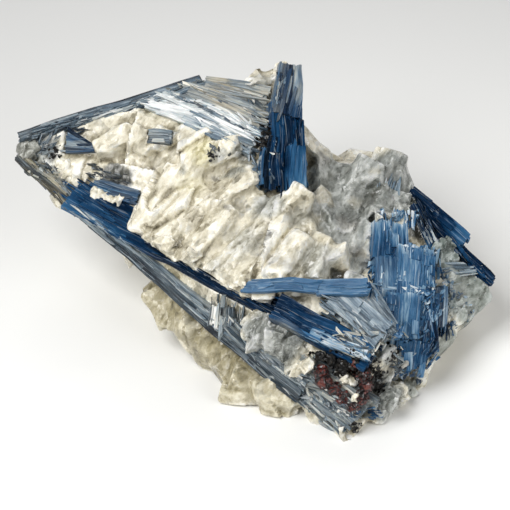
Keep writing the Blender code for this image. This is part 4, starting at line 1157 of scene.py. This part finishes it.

# ---- The scattered splinters -------------------------------------------------------------
# Loose-grained scraps of silvery kyanite that lie in the quartz at the left point, by the stack and on the
# far right, where cleaved pieces have broken off and stayed. The near-black ones above the inner blade are
# painted shadow.

grow(
    "scattered_splinters", silver_blue, "silver_blue_kyanite", None, 4211,
    blades=(),
    splinters=(
        ((-47.8, 21.8), (-38.6, 23.4), 2.4, 28, 24, 170, (0.8, 3.4), (0.05, 0.7), 0.3),
        ((-45.8, 18.6), (-38.2, 13.4), 2.2, -42, 18, 120, (0.8, 3), (0.1, 0.8), 0.6),
        ((-42, 26.6), (-35, 25.8), 1.2, 20, 15, 50, (0.8, 3), (0.0, 0.5), 0.1),
        # painted shadow: these near-black splinters above the inner blade stand for the shade there
        ((-33.4, 17), (-25, 15), 1.2, -15, 10, 50, (1, 3), (0.02, 0.3), 0.5),
        ((37.6, -2.6), (46.2, -2.6), 1.2, 6, 4, 30, (2, 6), (0.4, 0.75), 0.1),
        ((38.6, -5.4), (47.4, -5), 0.6, 14, 4, 6, (2, 6), (0.5, 0.8), 0, (0.08, 0.2)),
        ((34, 6.6), (37, 1), 1, -60, 6, 26, (1, 4), (0.45, 0.8), 0.3),
        ((26, 16), (29, 13), 1.4, 75, 6, 20, (2, 6), (0.4, 0.75), 0, (0.2, 0.7), (-0.4, -0.1)),
        ((-10.4, 21), (-5.8, 19), 1.6, -35, 50, 30, (0.4, 1.8), (0.05, 0.6), 0.5),
        ((10, -21.4), (15, -23.4), 2, -30, 25, 40, (0.8, 3), (0.3, 0.9), 0.4),
    ),
)

# ---- The far side's blades ---------------------------------------------------------------
# Three blades of mid-blue kyanite on the back of the lump. They lie flat against the quartz they grew
# in, as the crest's blades do on its front, and split along their length in the same way.

BACK = np.array((0, 1, 0))
FAR_BLADES = (
    # ends of each blade's edge (across, behind the foot, up), its widths and its tone
    ((-30, 62, 18), (8, 64.5, 24), (7, 6), 0.42),
    ((-18, 64, 20), (25, 61.5, 9), (5, 6), 0.46),
    ((2, 64, 20), (33, 57, 4), (5, 4), 0.5),
)
ORIGIN = (ORIGIN_U, ORIGIN_DEPTH, 0)
sheaf = Sheaf(6109)
for start, end, widths, tone in FAR_BLADES:
    ends = (np.subtract(place, ORIGIN) for place in (start, end))
    sheaf.blade(*ends, np.array((0.1, 0.1, 1)), widths, 3.4, 3, tone, out=BACK, spread=0.12)
sheaf.piece("far_side_blades", mid_blue, "mid_blue_kyanite", "back_blades", on_show=False)

# ---- The garnet --------------------------------------------------------------------------
# A crust of red-brown grains in a V near the foot, which hold to each other and to the quartz. Garnet
# has no cleavage, so it breaks into small shell-like faces, glassy and nearly black in the thick of a
# grain, rust-red at its edges.

GARNET_VOXEL = 0.16
GARNET_BREAKS = ((1.5, 0.4), (0.6, 0.35))  # widths of its breaks, and how steeply each stands up
GRAIN_LEVEL = 0.3  # the height in a crust of grains that stays where the surface was
GRAIN_RISE = (-0.5, 0.45)  # how far the breaks may cut in or stand out
GRAIN_EDGE = 28  # degrees between two faces that meet in a sharp edge
BLOCK_PLANES = 12
BLOCK_SKEW = 0.35  # how far a block's six main breaks lean
BLOCK_LENGTHS, BLOCK_WIDTHS = (1, 1.5), (0.7, 1.1)
BLOCK_LEAN = 0.35  # how far a block may turn from lying flat
GARNET_GRAINS = (
    # where the grains lie on the front, how far to each side, their number and half sizes
    ((13, -23), (14.2, -26.6), 1.0, 120, (0.15, 0.4)),
    ((15.2, -25.8), (19.4, -30.6), 0.6, 110, (0.15, 0.35)),
    ((19.8, -30.6), (22.6, -27), 0.6, 90, (0.15, 0.35)),
    ((19, -22.2), (23.4, -25.4), 1.0, 90, (0.15, 0.4)),
)


def shatter_grains(name, node, voxel, breaks, seed):
    """A crust of grains, from its own solid, broken further."""
    crust = new_piece(name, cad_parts[node].data.copy())
    remesh(crust, voxel)
    points = corners_of(crust.data) / METRES
    rise, _, tones = broken(points, breaks, np.array((1.0, 0, 0)), seed, GRAIN_LEVEL)
    lift = np.clip(rise, *GRAIN_RISE)[:, None]
    move_corners(crust.data, inside_box(points + corners_of(crust.data, "normal") * lift))
    give(crust.data, "facet", tones[-1])
    sharpen(crust.data, GRAIN_EDGE)
    return crust


class Rubble:
    """Collects the convex blocks of one piece, with the tones that its material reads."""

    def __init__(self, seed):
        self.rng = np.random.default_rng(seed)
        self.corners, self.faces, self.tones = [], [], []

    def block(self, middle, up, heading, size):
        """One block, long along the heading and flat towards up."""
        up = up / np.linalg.norm(up)
        long = heading - up * (heading @ up)
        long /= np.linalg.norm(long)
        points, faces = cut_block(self.rng, BLOCK_PLANES, BLOCK_SKEW)
        first = len(self.corners)
        self.corners.extend(middle + (points * size) @ np.stack((long, np.cross(up, long), up)))
        self.faces.extend([first + corner for corner in face] for face in faces)
        self.tones.extend([self.rng.uniform()] * len(points))

    def strew(self, strips, flatness, stand=0.35, heading=None):
        """Blocks along strips of the front, each let into what lies under it."""
        rng = self.rng
        for start, end, reach, count, sizes in strips:
            for _ in range(count):
                u, v = spot_on(start, end, reach, rng)
                deep = depth_at(u, v, shown)
                if deep is None:
                    continue
                size = rng.uniform(*sizes)
                size = size * np.array((rng.uniform(*BLOCK_LENGTHS), rng.uniform(*BLOCK_WIDTHS), flatness))
                up = OUTWARD + rng.normal(size=3) * BLOCK_LEAN
                way = rng.normal(size=3) if heading is None else heading + rng.normal(size=3) * 0.3
                self.block(on_front(u, v, deep + rng.uniform(-0.3, 0.5) * stand), up, way, size)

    def piece(self, name, material, slot):
        mesh = bpy.data.meshes.new(name)
        mesh.from_pydata(inside_box(np.array(self.corners)) * METRES, [], self.faces)
        give(mesh, "facet", np.array(self.tones))
        made = new_piece(name, mesh)
        fasten(made, material)
        return made


def broken_garnet():
    """Almandine: red by thin edges, black-red in the thick, glassy with a rusty skin here and there."""
    material, tree, shader = start_material("broken_almandine_garnet")
    place = add(tree, "TexCoord", output="Object")
    facet = add(tree, "Attribute", output="Fac", attribute_name="facet")
    patch = add(tree, "TexNoise", {"Vector": place, "Scale": 520, "Detail": 4, "Roughness": 0.65})
    mixed = add(tree, "Math", {0: patch, 1: facet}, operation="ADD")
    level = add(tree, "MapRange", {"Value": mixed, "From Min": 0.4, "From Max": 1.6})
    reds = ((0.25, "#040102"), (0.5, "#160404"), (0.66, "#380b07"), (0.82, "#58170e"), (0.95, "#6d3a2b"))
    grit = add(tree, "TexNoise", {"Vector": place, "Scale": 2400, "Detail": 4})
    skin = {
        "Base Color": add(tree, "ValToRGB", {"Fac": level}, stops=reds),
        "Roughness": add(tree, "MapRange", {"Value": grit, "To Min": 0.15, "To Max": 0.5}),
        "Normal": add(tree, "Bump", {"Height": grit, "Strength": 0.5, "Distance": 0.0001}),
        "IOR": 1.78,
        "Specular IOR Level": 0.35,
    }
    feed(tree, shader, skin)
    return material


almandine = broken_garnet()
garnet = shatter_grains("garnet_crust", "garnet_grains", GARNET_VOXEL, GARNET_BREAKS, 61)
fasten(garnet, almandine, "garnet_grains")
rubble = Rubble(62)
rubble.strew(GARNET_GRAINS, flatness=0.6)
rubble.piece("garnet_blocks", almandine, "garnet")

# ---- The quartz crust --------------------------------------------------------------------
# Where the milky quartz stands against the crystals or lies over them in broken scraps, as between the
# lower blades, along the long one, inside the garnet's V and on the far right. It is one with the lump.

CRUST_VOXEL = 0.2
CRUST_BREAKS = ((3.6, 0.12), (1.5, 0.08))  # widths of its breaks, and how steeply each stands up
CRUST_EDGE = 20  # degrees between two faces that meet in a sharp edge
QUARTZ_CRUMBS = (
    # where they lie on the front, how far to each side, their number and half sizes
    ((-21.4, 3.8), (-1.4, -5.8), 0.6, 34, (0.6, 1.5)),
    ((-33, 12.8), (-27.2, 10.8), 0.5, 40, (0.4, 0.8)),
    ((-39, 19.4), (-36.6, 14.2), 0.9, 16, (0.5, 1.1)),
    ((-47.6, 22.8), (-45, 20.8), 1.2, 30, (0.7, 1.5)),
    ((-0.6, -13.4), (7, -19), 1.8, 30, (1.4, 3)),
    ((6.6, -19), (10.2, -23), 1.2, 16, (0.9, 2)),
    ((17.4, -24.6), (20.2, -29), 0.8, 34, (0.25, 0.6)),
    ((36, 1), (40, 1), 1.6, 12, (0.8, 1.6)),
    ((39, -9.6), (42.4, -12.6), 1.4, 24, (0.4, 1.0)),
    ((25, -29.4), (30, -28.2), 1.4, 22, (0.7, 1.5)),
)

rubble = Rubble(63)
rubble.strew(QUARTZ_CRUMBS, flatness=0.7, stand=0.3, heading=QUARTZ_GRAIN)
crust = rubble.piece("quartz_crust", quartz, "milky_quartz")
remesh(crust, CRUST_VOXEL)
points = corners_of(crust.data) / METRES
rise, _, tones = broken(points, CRUST_BREAKS, QUARTZ_GRAIN, seed=64)
points = inside_box(points + corners_of(crust.data, "normal") * rise[:, None])
move_corners(crust.data, points)
give_breaks(crust.data, points, tones, cleft=np.ones(len(points)))
give_ridges(crust.data)
sharpen(crust.data, CRUST_EDGE)

# ---- The black mica ----------------------------------------------------------------------
# A felt of small biotite flakes over the garnet, in the fan, and beside the upright blades. Mica splits
# into thin springy plates, each a flat mirror, so the felt glints where one faces the light. The flakes
# grew into each other and into what they lie on.

MICA_VOXEL = 0.2
MICA_BREAKS = ((1.0, 0.5), (0.5, 0.35))
FLAKE_SIZES = (0.15, 0.45)  # radius
FLAKE_THICKNESS = 0.08
FLAKE_CORNERS = 6
FLAKE_SCATTER = 0.6  # how many of them lie within a felt's reach, and how far each turns from flat
MICA_FELTS = (
    # middle of each felt on the front, its reach and how many flakes lie in it
    ((12.6, -20.2), 1.0, 50),
    ((15.8, -21), 1.5, 120),
    ((19, -21.2), 1.5, 120),
    ((22.2, -21.8), 1.4, 110),
    ((24.2, -23.8), 1.3, 90),
    ((24.6, -26.6), 1.1, 60),
    ((17, -23), 1.2, 80),
    ((20.6, -23.8), 1.2, 60),
    ((21.4, -27.8), 0.9, 30),
    ((2.6, 25), 1.3, 60),
    ((1.4, 22.6), 1.2, 40),
    ((0.6, 28.6), 1.0, 16),
    ((-8.6, 19.8), 0.9, 20),
    ((20.2, -34.4), 1.0, 40),
    ((28, -20), 1.4, 24),
    ((-40.6, 21), 1.3, 30),
)


def flakes(seed):
    """The corners and faces of all the loose flakes."""
    rng = np.random.default_rng(seed)
    corners, faces = [], []
    for middle, reach, count in MICA_FELTS:
        for _ in range(count):
            u, v = np.array(middle) + rng.normal(size=2) * reach * FLAKE_SCATTER
            deep = depth_at(u, v, shown)
            if deep is None:
                continue
            centre = on_front(u, v, deep + rng.uniform(0, 0.25))
            way = OUTWARD + rng.normal(size=3) * FLAKE_SCATTER
            way /= np.linalg.norm(way)
            side = np.cross(way, (0.3, 0.5, 0.8))
            side /= np.linalg.norm(side)
            other = np.cross(way, side)
            radius = rng.uniform(*FLAKE_SIZES)
            low = [len(corners) + corner for corner in range(FLAKE_CORNERS)]
            high = [corner + FLAKE_CORNERS for corner in low]
            rim = radius * rng.uniform(0.7, 1.15, FLAKE_CORNERS)
            for lift in (-0.5, 0.5):
                for corner in range(FLAKE_CORNERS):
                    turn = math.tau * corner / FLAKE_CORNERS
                    spoke = (side * math.cos(turn) + other * math.sin(turn)) * rim[corner]
                    corners.append(centre + spoke + way * lift * FLAKE_THICKNESS)
            faces += [tuple(reversed(low)), tuple(high)]
            faces += [(low[i - 1], low[i], high[i], high[i - 1]) for i in range(FLAKE_CORNERS)]
    return inside_box(np.array(corners)), faces


def black_mica():
    """Biotite flakes: black-brown, with the bright flat glint of cleaved mica."""
    material, tree, shader = start_material("cleaved_biotite_mica")
    place = add(tree, "TexCoord", output="Object")
    patch = add(tree, "TexNoise", {"Vector": place, "Scale": 900, "Detail": 3})
    browns = ((0.35, "#030303"), (0.55, "#100e0c"), (0.74, "#352e24"))
    grit = add(tree, "TexNoise", {"Vector": place, "Scale": 2600, "Detail": 3})
    skin = {
        "Base Color": add(tree, "ValToRGB", {"Fac": patch}, stops=browns),
        "Roughness": add(tree, "MapRange", {"Value": grit, "To Min": 0.2, "To Max": 0.5}),
        "Normal": add(tree, "Bump", {"Height": grit, "Strength": 0.4, "Distance": 0.0001}),
        "IOR": 1.6,
        "Specular IOR Level": 0.35,
    }
    feed(tree, shader, skin)
    return material


biotite = black_mica()
mica = shatter_grains("mica_crust", "mica_grains", MICA_VOXEL, MICA_BREAKS, 71)
fasten(mica, biotite, "mica_grains")
flake_corners, flake_faces = flakes(77)
flake_mesh = bpy.data.meshes.new("mica_flakes")
flake_mesh.from_pydata(flake_corners * METRES, [], flake_faces)
fasten(new_piece("mica_flakes", flake_mesh), biotite)

# ---- The studio --------------------------------------------------------------------------
# A matt white board that the specimen only stands on, three softboxes and a camera far off. None of it
# belongs to the specimen. Distances are in metres here.

FLOOR_REACH = 1.5  # to each side
# the middle of the painted pool of light on the board
FLOOR_BRIGHT = (0.005, -0.075, 0)  # where the board is lightest
FLOOR_GREYS = ((0.0, "#f6f6f4"), (0.45, "#dededc"), (1.0, "#b9b9b8"))
SOFTBOXES = (
    # place, size and power
    ("key_softbox", (-0.7, -0.6, 1.25), 0.9, 23),
    ("fill_softbox", (0.7, -0.5, 0.5), 0.7, 3),
    ("back_softbox", (0.1, 0.8, 0.7), 0.6, 2.5),
)
LIT = Vector((0, 0, 0.02))  # what the softboxes face
ROOM_LIGHT = 0.22
CAMERA_LENS = 600
CAMERA_DISTANCE = 1.7


def face(thing, place, way):
    """Puts a lamp or a camera at the place, looking that way."""
    thing.location = place
    thing.rotation_mode = "QUATERNION"
    thing.rotation_quaternion = way.to_track_quat("-Z", "Y")
    bpy.context.scene.collection.objects.link(thing)


floor_corners = [(x * FLOOR_REACH, y * FLOOR_REACH, 0) for x, y in ((-1, -1), (1, -1), (1, 1), (-1, 1))]
floor_mesh = bpy.data.meshes.new("floor")
floor_mesh.from_pydata(floor_corners, [], [(0, 1, 2, 3)])
floor = new_piece("floor", floor_mesh)
# A painted pool of light: white in front of the specimen, running to painted shade of light grey behind it
# and to the sides
board, tree, shader = start_material("matt_white_board")
place = add(tree, "TexCoord", output="Object")
away = add(tree, "VectorMath", {0: place, 1: FLOOR_BRIGHT}, output="Value", operation="DISTANCE")
shade = add(tree, "MapRange", {"Value": away, "From Min": 0.07, "From Max": 0.23})
grey = add(tree, "ValToRGB", {"Fac": shade}, stops=FLOOR_GREYS)
feed(tree, shader, {"Base Color": grey, "Roughness": 0.9})
floor_mesh.materials.append(board)

for name, place, size, power in SOFTBOXES:
    light = bpy.data.lights.new(name, "AREA")
    light.shape = "SQUARE"
    light.size = size
    light.energy = power
    face(bpy.data.objects.new(name, light), place, LIT - Vector(place))

world = bpy.data.worlds.new("studio")
world.use_nodes = True
world.node_tree.nodes["Background"].inputs["Color"].default_value = (1, 1, 1, 1)
world.node_tree.nodes["Background"].inputs["Strength"].default_value = ROOM_LIGHT
bpy.context.scene.world = world
bpy.context.scene.view_settings.view_transform = "Standard"

camera_data = bpy.data.cameras.new("camera")
camera_data.lens = CAMERA_LENS
camera_data.sensor_width = 36
camera_data.clip_end = 20
camera = bpy.data.objects.new("camera", camera_data)
outward = Vector(OUTWARD)
face(camera, Vector(on_front(0, 0, 0)) * METRES + outward * CAMERA_DISTANCE, -outward)
bpy.context.scene.camera = camera
